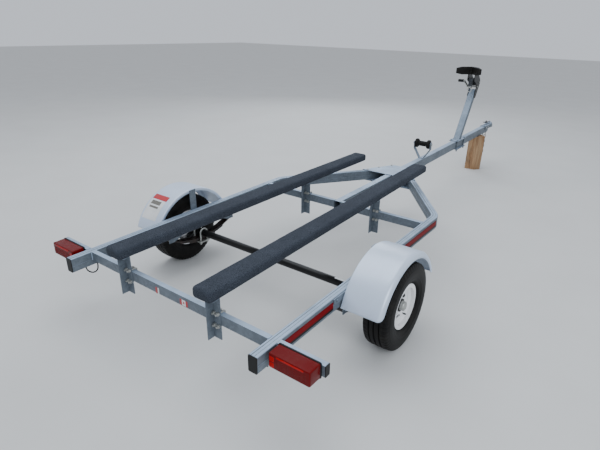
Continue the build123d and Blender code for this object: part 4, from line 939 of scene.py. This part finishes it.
class TRAILER_OT_lamps(bpy.types.Operator):
    """Builds the two rear lamps: ribbed lens, bright bar and squares, and tray"""

    bl_idname = "trailer.lamps"
    bl_label = "Lamps"

    def execute(self, context):
        x, y, z = LAMP_PLACE
        wide, high, deep = LAMP_FACE
        left, back = x - wide / 2, y - deep
        body = block((wide, high, deep), 6, 5, (x, y, z), middle=4, taper=LAMP_TAPER)
        across = [left + 42 + 7.4 * k for k in range(19)]
        ribs = [block((3.4, high - 26, 3), 1.5, 1.2, (rib, back + 2.4, z - 6)) for rib in across]
        strip = block((126, 8, 4), 3, 1.5, (x + 4, back + 2.9, z + high / 2 - 9))
        squares = [block((22, 23, 4), 3, 1.5, (left + 17, back + 2.9, z + 10 - 27 * k)) for k in range(2)]
        base = block((wide + 4, high + 4, 9), 7, 2.5, (x, y + 6, z))
        dull, bright, tray = (
            joined([solid(points) for points in group])
            for group in ((body, *ribs), (strip, *squares), (base,))
        )
        for side, outward, turn in SIDES:
            piece("lens_" + side, turn(dull), "lamp_lens", replaces=["lamp_" + side], sharp=50)
            piece("reflectors_" + side, turn(bright), "lamp_reflector", sharp=50)
            replaced = ["lamp_bases"] if outward > 0 else []
            piece("lamp_tray_" + side, turn(tray), "black_plastic", replaces=replaced, sharp=50)
        return {"FINISHED"}


class TRAILER_OT_leads(bpy.types.Operator):
    """Hangs the two lamp leads between the rear crossbar and the rails"""

    bl_idname = "trailer.leads"
    bl_label = "Lamp leads"

    def execute(self, context):
        (sx, sy, sz), (ex, ey, ez) = LEAD_ENDS
        route = [
            (sx, sy, sz), (sx, sy, sz - 21), (sx + 1, sy - 1.5, sz - 42), (sx + 7, sy - 8.5, sz - 59),
            (sx + 19, sy - 21.5, sz - 67.5), (ex - 8, ey + 10, ez - 35), (ex, ey, ez - 18), (ex, ey, ez),
        ]
        for side, outward, _ in SIDES:
            places = space(route) * (outward, 1, 1)
            curve = bpy.data.curves.new("lamp_cable_" + side, "CURVE")
            curve.dimensions = "3D"
            curve.bevel_depth = LEAD_R * MM
            curve.bevel_resolution = 4
            curve.resolution_u = 10
            line = curve.splines.new("NURBS")
            line.points.add(len(route) - 1)
            for point, place in zip(line.points, places):
                point.co = (*place, 1.0)
            line.order_u = 3
            line.use_endpoint_u = True
            curve.materials.append(finish("cable"))
            made = bpy.data.objects.new("lamp_cable_" + side, curve)
            context.scene.collection.objects.link(made)
            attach(made, "frame")
            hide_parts("lamp_lead_" + side)
        return {"FINISHED"}


# Keel roller

class TRAILER_OT_roller(bpy.types.Operator):
    """Turns the ringed keel roller, with its pin's nuts"""

    bl_idname = "trailer.roller"
    bl_label = "Keel roller"

    def execute(self, context):
        x = np.linspace(-ROLLER_HALF, ROLLER_HALF, 121)
        off = np.abs(x)
        radius = ROLLER_WAIST + (ROLLER_R - ROLLER_WAIST) * smoothed(np.clip((off - 30) / 18, 0, 1))
        radius -= 5.5 * np.clip((off - 61.5) / 4.2, 0, 1) ** 2
        radius -= 0.9 * (np.abs(off - 55) < 1.1) + 0.9 * (np.abs(off - 58.5) < 1.1)
        shell = np.concatenate([[(-ROLLER_HALF, 7.2)], np.column_stack([x, radius]), [(ROLLER_HALF, 7.2)]])
        part = turned(shell * MM, JOINTS["keel_roller_spin"]["pos_m"], 72)
        piece("roller_tread", part, "roller_rubber", "roller", replaces=["keel_roller"], sharp=40)
        ends = [(side * ROLLER_PIN_END, *ROLLER_PLACE) for side in (-1, 1)]
        nuts = [hexagon_bolt(end, (np.sign(end[0]), 0, 0), 10.5, 9) for end in ends]
        piece("roller_nuts", joined(nuts), "zinc_hardware")
        return {"FINISHED"}


# Winch

def winch_places():
    """The winch's drum, crank, bow stop and guide as (ahead, up), from the joints."""
    names = ("winch_drum_turn", "winch_crank_turn")
    drum, crank = (level_frame(JOINTS[name]["pos_m"])[1:] / MM for name in names)
    return drum, crank, drum + (-150, 88), drum + (-148, 40)


def toothed(teeth, root, tip):
    """A gear's outline: each tooth is a trapezium between the root circle and the tip circle."""
    corners = np.array([0.06, 0.3, 0.44, 0.56, 0.7, 0.94]) - 0.5
    place = (np.arange(teeth)[:, None] + corners) * (2 * np.pi / teeth)
    flank = root + (tip - root) * 0.35
    radius = np.broadcast_to([root, flank, tip, tip, flank, root], place.shape)
    return np.stack([np.cos(place) * radius, np.sin(place) * radius], -1).reshape(-1, 2)


class TRAILER_OT_winch_drum(bpy.types.Operator):
    """Builds the winch drum: flanges, wound strap and the toothed wheel"""

    bl_idname = "trailer.winch_drum"
    bl_label = "Winch drum"

    def execute(self, context):
        drum = winch_places()[0]
        wheel = side_plate(toothed(context.scene.trailer_sizes.gear_teeth, 41.2, 45.6), drum, *GEAR_FACES)
        boss = [
            (-53, 0.1), (-53, 7), (-52.8, 8), (-52.4, 9), (-52.4, 19), (-51.4, 21), (-50, 20), (-50, 0.1),
        ]
        rod = [(-49, 0.1), (-49, 8), (43.4, 8), (45, 6.5), (45, 0.1)]
        flanges = []
        for side in (-1, 1):
            rim = np.array([(22, 9), (22, 44), (22.6, 45.6), (24, 46), (25, 45), (24.6, 43.4), (24.2, 9)])
            flanges.append(level_turned((rim * (side, 1))[::-side], drum, 64, True))
        metal = joined([wheel, level_turned(boss, drum), level_turned(rod, drum), *flanges])
        piece("drum_metal", metal, "winch_metal", "drum", replaces=["winch_drum"], bevel=0.4)
        x = np.linspace(-20.6, 20.6, 61)
        coil = 36.2 + 0.45 * np.sin(x * 1.9) + 0.3 * np.sin(x * 0.7)
        coil[[0, -1]] = 34.5
        wound = np.concatenate([[(-20.6, 9)], np.column_stack([x, coil]), [(20.6, 9)]])
        coiled = level_turned(wound, drum, 72, True)
        piece("wound_strap", coiled, "webbing", "drum", sharp=70)
        return {"FINISHED"}


class TRAILER_OT_winch_crank(bpy.types.Operator):
    """Builds the crank: shaft, toothed pinion, arm and ribbed grip"""

    bl_idname = "trailer.winch_crank"
    bl_label = "Winch crank"

    def execute(self, context):
        crank = winch_places()[1]
        rest = math.radians(CRANK_REST)
        along = np.array([-math.cos(rest), math.sin(rest)])
        square = np.array([-along[1], along[0]])
        reach = CRANK_REACH * along
        pinion = side_plate(toothed(context.scene.trailer_sizes.pinion_teeth, 12, 16.6), crank, *GEAR_FACES)
        rod = level_turned([(-64.5, 0.1), (-64.5, 7), (43.6, 7), (45, 5.5), (45, 0.1)], crank)
        end = np.linspace(-np.pi / 2, np.pi / 2, 15)[:, None]
        round_end = np.cos(end) * along + np.sin(end) * square
        waist = [reach * 0.25 + square * 10.5, reach * 0.75 + square * 9.5]
        under = [reach * 0.75 - square * 9.5, reach * 0.25 - square * 10.5]
        outline = np.concatenate([reach + 12.5 * round_end, waist[::-1], -13 * round_end, under[::-1]])
        arm = side_plate(outline, crank, -59, -65)
        nut = hexagon_bolt((-64.6, *crank), (-1, 0, 0), 10, 7)
        rivet = level_turned([(-68, 0.1), (-67.5, 5), (-66, 7), (-64, 7)], crank + reach, 24)
        metal = joined([pinion, rod, arm, nut, rivet])
        piece("crank_metal", metal, "winch_metal", "crank", replaces=["winch_crank"], bevel=0.6)
        x = np.linspace(-67, -124, 96)
        radius = 13.2 + 0.55 * np.cos((x + 67) * 2 * np.pi / 4.4) + 1.2 * np.exp(-((x + 71) / 4) ** 2)
        radius += np.exp(-((x + 119) / 5) ** 2)
        radius -= 6.5 * np.clip((-x - 119.5) / 5.5, 0, 1) ** 2 * 0.9
        shell = np.concatenate([[(-66.5, 0.1), (-66.5, 12.5)], np.column_stack([x, radius]), [(-125, 0.1)]])
        grip = level_turned(shell[::-1], crank + reach, 40)
        piece("crank_grip", grip, "black_plastic", "crank", sharp=60)
        return {"FINISHED"}


def strap_line():
    """The strap's middle line as (ahead, up): a tangent off the drum's top, round the guide and down."""
    drum, _, _, guide = winch_places()
    wound, around = DRUM_WOUND + STRAP_MIDDLE, GUIDE_R + STRAP_MIDDLE
    reach = guide - drum
    far = np.linalg.norm(reach)
    slant = (wound - around) / far
    square = math.sqrt(1 - slant ** 2)
    off = np.array([reach[0] * slant + reach[1] * square, reach[1] * slant - reach[0] * square]) / far
    turn = np.linspace(math.atan2(off[1], off[0]), math.pi, 14)
    bend = guide + around * np.stack([np.cos(turn), np.sin(turn)], -1)
    run = np.linspace(0, 1, 30)[:, None]
    tangent = (drum + off * wound) * (1 - run) + bend[0] * run
    sag = 1.2 * np.sin(run * np.pi) * off
    drop = bend[-1] + np.linspace(0, 1, 14)[1:, None] * (0, -STRAP_DROP)
    return np.concatenate([tangent - sag, bend[1:], drop])


class TRAILER_OT_winch_strap(bpy.types.Operator):
    """Leads the webbing from the drum over the guide to its sewn end"""

    bl_idname = "trailer.winch_strap"
    bl_label = "Winch strap"

    def execute(self, context):
        edge = context.scene.trailer_sizes.strap_edge / MM
        across = np.linspace(-1, 1, 21)
        thick = 1 + edge * np.abs(across) ** 10
        both = np.concatenate([across, across[::-1]])
        flat = np.column_stack([both * STRAP_HALF, np.concatenate([-thick, thick[::-1]])])
        line = strap_line()
        part = carry(flat, np.column_stack([np.zeros(len(line)), line]), (1, 0, 0))
        y, z = line[-1]
        fold = np.array([(0, y, z), (0, y, z + 22), (0, y, z + 44)]) + (0, -1.9, 0)
        sewn = carry(flat * (0.97, 0.9), fold, (1, 0, 0))
        strap = moved(joined([part, sewn]), space)
        piece("strap", strap, "webbing", replaces=["winch_strap"], sharp=60)
        return {"FINISHED"}


class TRAILER_OT_snap_hook(bpy.types.Operator):
    """Bends the snap hook: barrel, ring of wire and sprung gate"""

    bl_idname = "trailer.snap_hook"
    bl_label = "Snap hook"

    def execute(self, context):
        y, top = strap_line()[-1]
        low = top - 14 - HOOK_R
        turn = np.linspace(math.radians(115), math.radians(115) + 2 * math.pi * 0.93, 64)
        loop = np.column_stack([HOOK_R * np.cos(turn), np.full(64, y), low + HOOK_R * np.sin(turn)])
        wire = carry(ring(4, 14), loop, (0, 1, 0), scale=1 - 0.35 * np.linspace(0, 1, 64) ** 3)
        sprung = [(11.5, y, low + 17), (15.6, y, low + 8), (17.4, y, low - 3)]
        gate = carry(rounded_box(5.5, 1.6, 0.7, 3), sprung, (0, 1, 0))
        outline = rounded_box(24, 8, 3.4, 6)
        barrel = ((0, 0.93), (1, 1), (7, 1), (10, 0.62), (14.5, 0.5), (16, 0.42))
        shank = np.stack([np.insert(outline * s, 2, top - h, axis=1) for h, s in barrel]) + (0, y, 0)
        metal = joined([wire, gate, solid(shank[:, ::-1])])
        piece("hook", moved(metal, space), "zinc_hardware", replaces=["snap_hook"], sharp=50)
        return {"FINISHED"}


class TRAILER_OT_bow_stop(bpy.types.Operator):
    """Moulds the rubber bow stop, and bolts it to the winch frame"""

    bl_idname = "trailer.bow_stop"
    bl_label = "Bow stop"

    def execute(self, context):
        y, z = winch_places()[2]
        arm = np.array([(12, -19.5), (60, -69), (119, -121.5)])
        line = rounded_path(np.concatenate([arm[::-1] * (-1, 1), arm]), 24, 8)
        gone = np.linalg.norm(np.diff(line, axis=0, prepend=line[:1]), axis=1).cumsum()
        to_end = np.minimum(gone, gone[-1] - gone)
        thick = 1 - 0.3 * np.clip(1 - to_end / 12, 0, 1) ** 2
        path = np.column_stack([line[:, 0], y + line[:, 1], np.full(len(line), z + BOW_MIDDLE)])
        stop = carry(rounded_box(74, 27, 5, 6), path, (0, 0, 1), scale=thick)
        piece("bow_rubber", moved(stop, space), "black_rubber", replaces=["bow_stop"], sharp=50)
        bolts = [hexagon_bolt((x, y + 1, z + BOW_MIDDLE), (0, 1, 0), 8, 6) for x in (-BOW_BOLT, BOW_BOLT)]
        piece("bow_bolts", joined(bolts), "zinc_hardware")
        return {"FINISHED"}


# Coupler and chains

def coupler_shell():
    """The coupler's pressed shell: superellipse arches carried along it.

    An arch's half width and height follow the tongue, then a dome over the ball, and its power falls
    from 7, nearly square, to 2.3, nearly a half circle, as it reaches the dome.
    """
    rear, mouth, ball = COUPLER_RUN
    low, top, middle = COUPLER_LEVELS
    tip = ball + COUPLER_DOME * np.sin(np.linspace(0, np.pi / 2, 16)[1:])
    y = np.concatenate([np.linspace(rear, ball, 60), tip])
    share = smoothed(np.clip((y - mouth) / (ball - mouth), 0, 1))
    dome = np.sqrt(np.clip(COUPLER_DOME ** 2 - (y - ball) ** 2, 0.3, None))
    half = np.where(y < ball, COUPLER_HALF + (COUPLER_DOME - COUPLER_HALF) * share, dome)
    rising = (top - low) + (middle + COUPLER_DOME - top) * share ** 2
    height = np.where(y < ball, rising, np.minimum(middle - low + dome, 56))
    power = 2 / (7 - 4.7 * share[:, None])
    turn = np.linspace(0, np.pi, 41)[None, :]
    c, s = np.cos(turn), np.sin(turn)
    x = half[:, None] * np.sign(c) * np.abs(c) ** power
    z = low + height[:, None] * np.abs(s) ** power
    return np.stack([x, np.broadcast_to(y[:, None], x.shape), z], -1)


class TRAILER_OT_coupler(bpy.types.Operator):
    """Presses the coupler's shell and fits its bolts and ears"""

    bl_idname = "trailer.coupler"
    bl_label = "Coupler"

    def execute(self, context):
        shell = coupler_shell()
        part = skin(space(shell), wrap_columns=False)
        made = piece("coupler_shell", part, "galvanised_steel", replaces=["coupler"], sharp=40)
        thicken(made, "Wall", 3.8, -1)
        lip = np.concatenate([shell[:, 0], shell[::-1, -1]]) + (0, 0, 1.6)
        lip = lip[np.linalg.norm(np.diff(lip, axis=0, append=lip[:1]), axis=1) > 0.2]
        trim = [moved(carry(ring(2.2, 8), lip, (0, 0, 1)), space)]
        ear = [(-10, -17), (10, -17), (10, 0), (8.7, 5), (5, 8.7), (0, 10), (-5, 8.7), (-8.7, 5), (-10, 0)]
        bolts = []
        for side in (-1, 1):
            inner, outer = (side * x for x in COUPLER_EAR)
            trim.append(side_plate(ear, LATCH_PIN, inner, outer))
            for x, ahead, up in COUPLER_BOLTS:
                bolts.append(hexagon_bolt((side * x, ahead, up), (side, 0, 0), 8.5, 7))
            bolts.append(hexagon_bolt((outer, *LATCH_PIN), (side, 0, 0), 6, 3.5, 1.2))
        piece("coupler_trim", joined(trim), "galvanised_steel", bevel=0.5)
        piece("coupler_bolts", joined(bolts), "zinc_hardware")
        return {"FINISHED"}


class TRAILER_OT_latch(bpy.types.Operator):
    """Folds the latch lever from sheet, with turned-down sides and a lifted tip"""

    bl_idname = "trailer.latch"
    bl_label = "Coupler latch"

    def execute(self, context):
        line = rounded_path([(6, 8.5), (-60, 9), (-112, 9), (-150, 24.5)], 26, 9)
        path = np.column_stack([np.zeros(len(line)), line + LATCH_PIN])
        depth = np.interp(-line[:, 0], [-8, 10, 100, 150], [15, 11, 7, 5])
        half = np.interp(-line[:, 0], [-8, 90, 150], [16.8, 15, 16.8])
        turn = np.linspace(0, np.pi / 2, 5)
        corner = np.column_stack([1 - 0.18 + 0.18 * np.sin(turn), -0.35 + 0.35 * np.cos(turn)])
        right = np.concatenate([corner, [(1, -1)]])
        section = np.concatenate([right[::-1] * (-1, 1), [(-0.4, 0), (0.4, 0)], right])
        ahead = np.gradient(path, axis=0)
        ahead /= np.linalg.norm(ahead, axis=1, keepdims=True)
        up = np.cross(ahead, (-1, 0, 0))
        points = path[:, None] + np.array([1, 0, 0]) * section[None, :, :1] * half[:, None, None]
        points = points + up[:, None] * section[None, :, 1:] * depth[:, None, None]
        part = skin(space(points), wrap_columns=False)
        lever = piece("latch_lever", part, "black_paint", "latch", replaces=["coupler_latch"], sharp=40)
        thicken(lever, "Wall", 2.6, 0)
        return {"FINISHED"}


class TRAILER_OT_chains(bpy.types.Operator):
    """Hangs the two safety chains from their lugs, each with its hook"""

    bl_idname = "trailer.chains"
    bl_label = "Safety chains"

    def execute(self, context):
        rod = context.scene.trailer_sizes.link_rod / MM
        x, y = CHAIN_PLACE
        circle = ring(1, 28)
        stadium = LINK_R * circle + LINK_STRAIGHT * np.sign(circle + 1e-9) * (0, 1)
        bend = np.linspace(math.radians(100), math.radians(-215), 30)
        hook = np.column_stack([np.zeros(30), 14.5 * np.cos(bend), 14.5 * np.sin(bend) - 19])
        taper = np.interp(np.arange(30), [0, 22, 29], [1, 1, 0.55])
        eye = np.column_stack([np.zeros(20), ring(4.5, 20) - (0, 1.5)])
        parts = []
        for side in (-1, 1):
            top = space((side * x, y, RAIL_LOW - 7)) / MM
            for index in range(CHAIN_LINKS):
                across = index % 2
                link = np.zeros((28, 3))
                link[:, [1 - across, 2]] = stadium
                centre = top + (0, 0, rod - 1 - 21 - index * CHAIN_STEP)
                parts.append(carry(ring(rod / 2, 9), centre + link, (1 - across, across, 0), closed=True))
            low = top + (0, 0, rod - 1 - CHAIN_LINKS * CHAIN_STEP)
            parts.append(carry(ring(3.6, 10), low + hook, (1, 0, 0), scale=taper))
            parts.append(carry(ring(2.4, 8), low + eye, (1, 0, 0), closed=True))
            lug = block((17.6, 17.6, 8), 2, 1, (side * x, y, RAIL_LOW + 1), (0, -1, 0), (0, 0, -1))
            parts.append(solid(lug / MM))
        chains = moved(joined(parts), metres)
        piece("chain_links", chains, "chain_steel", replaces=["safety_chains"], sharp=50)
        return {"FINISHED"}


# Log

class TRAILER_OT_log(bpy.types.Operator):
    """Splits the log that props the tongue: rough split faces, cracked ends and a round side of bark"""

    bl_idname = "trailer.log"
    bl_label = "Log"

    def execute(self, context):
        corners = np.array(LOG_CORNERS, float)
        split = np.concatenate([np.linspace(a, b, 22)[:-1] for a, b in zip(corners, corners[1:])])
        t = np.linspace(0, 1, 64)[:, None]
        first, last = corners[-1], corners[0]
        drawn = 2 * np.array((11.4, 75)) - (first + last) / 2
        round_side = (1 - t) ** 2 * first + 2 * t * (1 - t) * drawn + t ** 2 * last
        outline = np.concatenate([split, round_side[:-1]])
        count = len(outline)
        ahead = np.roll(outline, -1, 0) - np.roll(outline, 1, 0)
        inward = np.column_stack([-ahead[:, 1], ahead[:, 0]])
        inward /= np.linalg.norm(inward, axis=1, keepdims=True)
        up = np.linspace(0, 1, 46)[:, None]
        k = np.arange(count)[None]
        fibre = np.sin(k * 1.7) + 0.7 * np.sin(k * 0.63 + 4 * up) + 0.5 * np.sin(k * 2.9 + 9 * up)
        chip = np.exp(-((k - 30 - 5 * np.sin(up * 5)) / 1.1) ** 2)
        chip = chip + 0.8 * np.exp(-((k - 12 + 3 * np.sin(up * 4)) / 0.9) ** 2)
        crack = context.scene.trailer_sizes.log_crack / MM * chip * np.clip(up * 1.6 - 0.3, 0, 1)
        inset = np.where(k >= len(split), 1.6 + 0.9 * fibre, 1.8 + 0.7 * fibre + crack)
        flat = outline[None] + inward[None] * np.clip(inset, 0.1, None)[..., None]
        across, along = flat[..., 0], flat[..., 1]
        top = space(np.stack([across, LOG_PLACE + along, np.full(across.shape, RAIL_LOW - 0.3)], -1))
        points = np.stack([across * MM, (WHEEL[1] / MM + LOG_PLACE + along) * MM, top[..., 2] * up], -1)
        made = piece("log", solid(points), "split_wood", replaces=["prop_log"], sharp=55)
        made.data.materials.append(finish("bark"))
        indices = np.zeros(len(made.data.polygons), int)
        indices[:45 * count] = (np.arange(45 * count) % count) >= len(split)
        made.data.polygons.foreach_set("material_index", indices)
        return {"FINISHED"}


# Fastenings, welds and labels

def rail_line(x):
    """A line along a rail's top at a distance from the middle: straight, round the bend, and straight in.

    The bend is an arc whose centre lies its radius in from the rail's outer face.
    """
    turn = math.radians(BEND_ANGLE)
    radius = BEND_R - (RAIL_OUT - x)
    centre = np.array([RAIL_OUT - BEND_R, BEND_Y - BEND_R * math.tan(turn / 2)])
    arc = centre + radius * np.array([(math.cos(a), math.sin(a)) for a in np.linspace(0, turn, 13)])
    last = arc[-1] + (GUSSET_REAR_Y + 12 - arc[-1, 1]) * np.array([-math.tan(turn), 1])
    flat = np.concatenate([[(x, RAIL_REAR + 1)], arc, [last]])
    return np.column_stack([flat, np.full(len(flat), RAIL_TOP)])


class TRAILER_OT_fastenings(bpy.types.Operator):
    """Adds the small bolts and the weld beads of the frame"""

    bl_idname = "trailer.fastenings"
    bl_label = "Fastenings and welds"

    def execute(self, context):
        bead = context.scene.trailer_sizes.weld_width
        bolts, beads, seams, black_bands = [], [], [], []
        for side in (-1, 1):
            for x, y in GUSSET_BOLTS:
                bolts.append(hexagon_bolt((side * x, y, RAIL_TOP + 5), (0, 0, 1), 7.5, 6))
            for place in FENDER_BOLTS:
                bolts.append(hexagon_bolt((side * (RAIL_OUT + 4), *place), (side, 0, 0), 7, 5.5))
            for x, y in UPRIGHT_WELDS:
                beads.append(weld(*((side * x, y, z) for z in UPRIGHT_WELD_RUN), bead))
            for x, start, end in TOP_WELDS:
                beads.append(weld((side * x, start, RAIL_TOP), (side * x, end, RAIL_TOP), bead))
        piece("frame_bolts", joined(bolts), "zinc_hardware")
        for a, b in zip(POST_FOOT, POST_FOOT[1:] + POST_FOOT[:1]):
            beads.append(weld((*a, POST_FOOT_TOP), (*b, POST_FOOT_TOP), bead))
        piece("welds", joined(beads), "weld_zinc", sharp=70)
        for off, wide in SEAMS:
            profile = [(-wide / 2, -0.3), (-wide / 2, 0.25), (wide / 2, 0.25), (wide / 2, -0.3)]
            seam = moved(carry(profile, rail_line(RAIL_OUT - RAIL_WIDTH + off), (1, 0, 0)), space)
            seams += [seam, mirrored(seam)]
        piece("rail_seams", joined(seams), "mill_seam")
        # A black band, 11 mm tall, under each red strip
        low, high = STRIP_BLACK_BAND
        for start, end in STRIP_RUNS:
            outline = [(start, low), (end, low), (end, high), (start, high)]
            black_band = side_plate(outline, (0, 0), STRIP_FACE - 0.6, STRIP_FACE + 0.4)
            black_bands += [black_band, mirrored(black_band)]
        piece("strip_borders", joined(black_bands), "black_plastic")
        return {"FINISHED"}


class TRAILER_OT_labels(bpy.types.Operator):
    """Sticks the blank labels on the left fender and the rear crossbar, and lays a narrow white band along the
    axle's top
    """

    bl_idname = "trailer.labels"
    bl_label = "Blank labels"

    def execute(self, context):
        def round_patch(x, turn, centre, radius):
            """A patch of a cylinder across the trailer, about a centre (ahead, up)."""
            y, z = centre
            ahead, up = y + radius * np.sin(turn), z + radius * np.cos(turn)
            return skin(space(np.stack(np.broadcast_arrays(x, ahead, up), -1)), wrap_columns=False)

        def on_fender(x0, x1, a0, a1):
            across, turn = np.linspace(-x1, -x0, 8)[None], np.radians(np.linspace(a0, a1, 14))[:, None]
            return round_patch(across, turn, FENDER_CENTRE, FENDER_SIZE[2] + 0.4)

        def on_crossbar(x, z, wide, high, proud):
            patch = rounded_box(wide, high, 1.5, 4) + (x, z)
            rows = np.stack([np.insert(patch, 1, CROSSBAR_REAR - h, axis=1) for h in (0, proud)])
            return solid(space(rows)[:, ::-1])

        printed = [on_fender(735, 820, -39.5, -34.5), on_fender(735, 815, -44, -41.5)]
        piece("label_band", on_fender(*LABEL_ACROSS, -32.5, -25.5), "label_red")
        piece("label_sheet", on_fender(*LABEL_ACROSS, -58, -33), "label_vinyl")
        piece("label_print", joined(printed), "label_print")
        red = (
            (96, 356, 14, 30, 0.3), (134, 356, 14, 30, 0.3), (115, 356, 9, 12, 0.5), (-76, 352, 14, 34, 0.3),
        )
        pale = ((115, 356, 26, 30, 0.3), (-62, 352, 10, 34, 0.3))
        for end, look, patches in (("_red", "label_red", red), ("", "label_vinyl", pale)):
            part = joined([on_crossbar(*patch) for patch in patches])
            piece("label_crossbar" + end, part, look)
        # A narrow white band along the axle's top, 70 mm long
        (x0, x1), (a0, a1) = AXLE_WHITE_BAND
        across, turn = np.linspace(x0, x1, 6)[:, None], np.radians(np.linspace(a1, a0, 14))[None]
        band = round_patch(across, turn, (0, WHEEL[2] / MM), AXLE_R + 0.3)
        piece("label_axle", band, "label_vinyl")
        return {"FINISHED"}


class TRAILER_OT_metalwork(bpy.types.Operator):
    """Gives the frame's own steelwork and plastic their finishes"""

    bl_idname = "trailer.metalwork"
    bl_label = "Metalwork"

    def execute(self, context):
        for name, node in frame["nodes"].items():
            for slot in node.material_slots:
                slot.material = finish(SLOTS[name])
        return {"FINISHED"}


# Stage: the camera in metres and radians (yaw, pitch, roll), and each light's place, aim, size and watts

CAMERA_PLACE = (1.6085, -3.5544, 1.4965)
CAMERA_TURN = (0.631, 0.395, 0.024)
CAMERA_LENS = 28.66
FLOOR_HALF = 30
SKY = (0.86, 0.91, 1.0, 1.0)
SKY_STRENGTH = 0.8
LIGHT = (0.88, 0.94, 1.0)
SOFTBOXES = {
    "softbox_over": ((-1.5, -1.0, 5.5), (0, -0.3, 0.2), 5.0, 185),
    "softbox_side": ((4.5, -4.0, 3.2), (0, -1.2, 0.4), 3.0, 125),
    "softbox_back": ((-3.5, 4.5, 3.4), (0, 0, 0.4), 3.0, 90),
}


class TRAILER_OT_stage(bpy.types.Operator):
    """Sets the camera where the photograph was taken from, over a pale floor in soft light"""

    bl_idname = "trailer.stage"
    bl_label = "Stage"

    def execute(self, context):
        scene = context.scene
        yaw, pitch, roll = CAMERA_TURN
        flat = math.cos(pitch)
        ahead = Vector((-math.sin(yaw) * flat, math.cos(yaw) * flat, -math.sin(pitch)))
        across = Vector((math.cos(yaw), math.sin(yaw), 0))
        up = across.cross(ahead)
        right = math.cos(roll) * across + math.sin(roll) * up
        top = math.cos(roll) * up - math.sin(roll) * across
        turn = Matrix((right, top, -ahead)).transposed().to_4x4()
        camera = bpy.data.objects.new("camera", bpy.data.cameras.new("camera"))
        camera.data.sensor_width = 36
        camera.data.lens = CAMERA_LENS
        camera.matrix_world = Matrix.Translation(CAMERA_PLACE) @ turn
        scene.collection.objects.link(camera)
        scene.camera = camera

        mesh = bpy.data.meshes.new("floor")
        corners = [(x * FLOOR_HALF, y * FLOOR_HALF, 0) for x, y in ((-1, -1), (1, -1), (1, 1), (-1, 1))]
        mesh.from_pydata(corners, [], [(0, 1, 2, 3)])
        mesh.materials.append(finish("floor_screed"))
        ground = bpy.data.objects.new("floor", mesh)
        scene.collection.objects.link(ground)

        scene.world = bpy.data.worlds.new("studio")
        scene.world.use_nodes = True
        background = scene.world.node_tree.nodes["Background"]
        background.inputs["Color"].default_value = SKY
        background.inputs["Strength"].default_value = SKY_STRENGTH
        for name, (place, aim, size, watts) in SOFTBOXES.items():
            light = bpy.data.lights.new(name, "AREA")
            light.size, light.energy, light.color = size, watts, LIGHT
            lamp = bpy.data.objects.new(name, light)
            lamp.location = place
            lamp.visible_camera = False
            lamp.rotation_euler = (Vector(aim) - Vector(place)).to_track_quat("-Z", "Y").to_euler()
            scene.collection.objects.link(lamp)
        return {"FINISHED"}


class TRAILER_PT_sidebar(bpy.types.Panel):
    """Lists the trailer's pieces, sizes and colours"""

    bl_idname = "TRAILER_PT_sidebar"
    bl_label = "Boat trailer"
    bl_space_type = "VIEW_3D"
    bl_region_type = "UI"
    bl_category = "Trailer"

    def draw(self, context):
        column = self.layout.column(align=True)
        for maker in MAKERS:
            column.operator(maker.bl_idname)
        for group in (context.scene.trailer_sizes, context.scene.trailer_colours):
            box = self.layout.box()
            for name in group.__annotations__:
                box.prop(group, name)


MAKERS = (
    TRAILER_OT_stage, TRAILER_OT_leads, TRAILER_OT_metalwork, TRAILER_OT_bunks, TRAILER_OT_tyres,
    TRAILER_OT_hubs, TRAILER_OT_fenders, TRAILER_OT_lamps, TRAILER_OT_roller, TRAILER_OT_winch_drum,
    TRAILER_OT_winch_crank, TRAILER_OT_winch_strap, TRAILER_OT_snap_hook, TRAILER_OT_bow_stop,
    TRAILER_OT_coupler, TRAILER_OT_latch, TRAILER_OT_chains, TRAILER_OT_log, TRAILER_OT_fastenings,
    TRAILER_OT_labels,
)
CLASSES = (TrailerColours, TrailerSizes, *MAKERS, TRAILER_PT_sidebar)


def register():
    for shown in CLASSES:
        bpy.utils.register_class(shown)
    bpy.types.Scene.trailer_colours = PointerProperty(type=TrailerColours)
    bpy.types.Scene.trailer_sizes = PointerProperty(type=TrailerSizes)


def unregister():
    del bpy.types.Scene.trailer_sizes
    del bpy.types.Scene.trailer_colours
    for shown in reversed(CLASSES):
        bpy.utils.unregister_class(shown)


def main():
    """Registers the classes and calls each operator in turn."""
    register()
    for maker in MAKERS:
        group, name = maker.bl_idname.split(".")
        getattr(getattr(bpy.ops, group), name)()


if __name__ == "__main__":
    main()
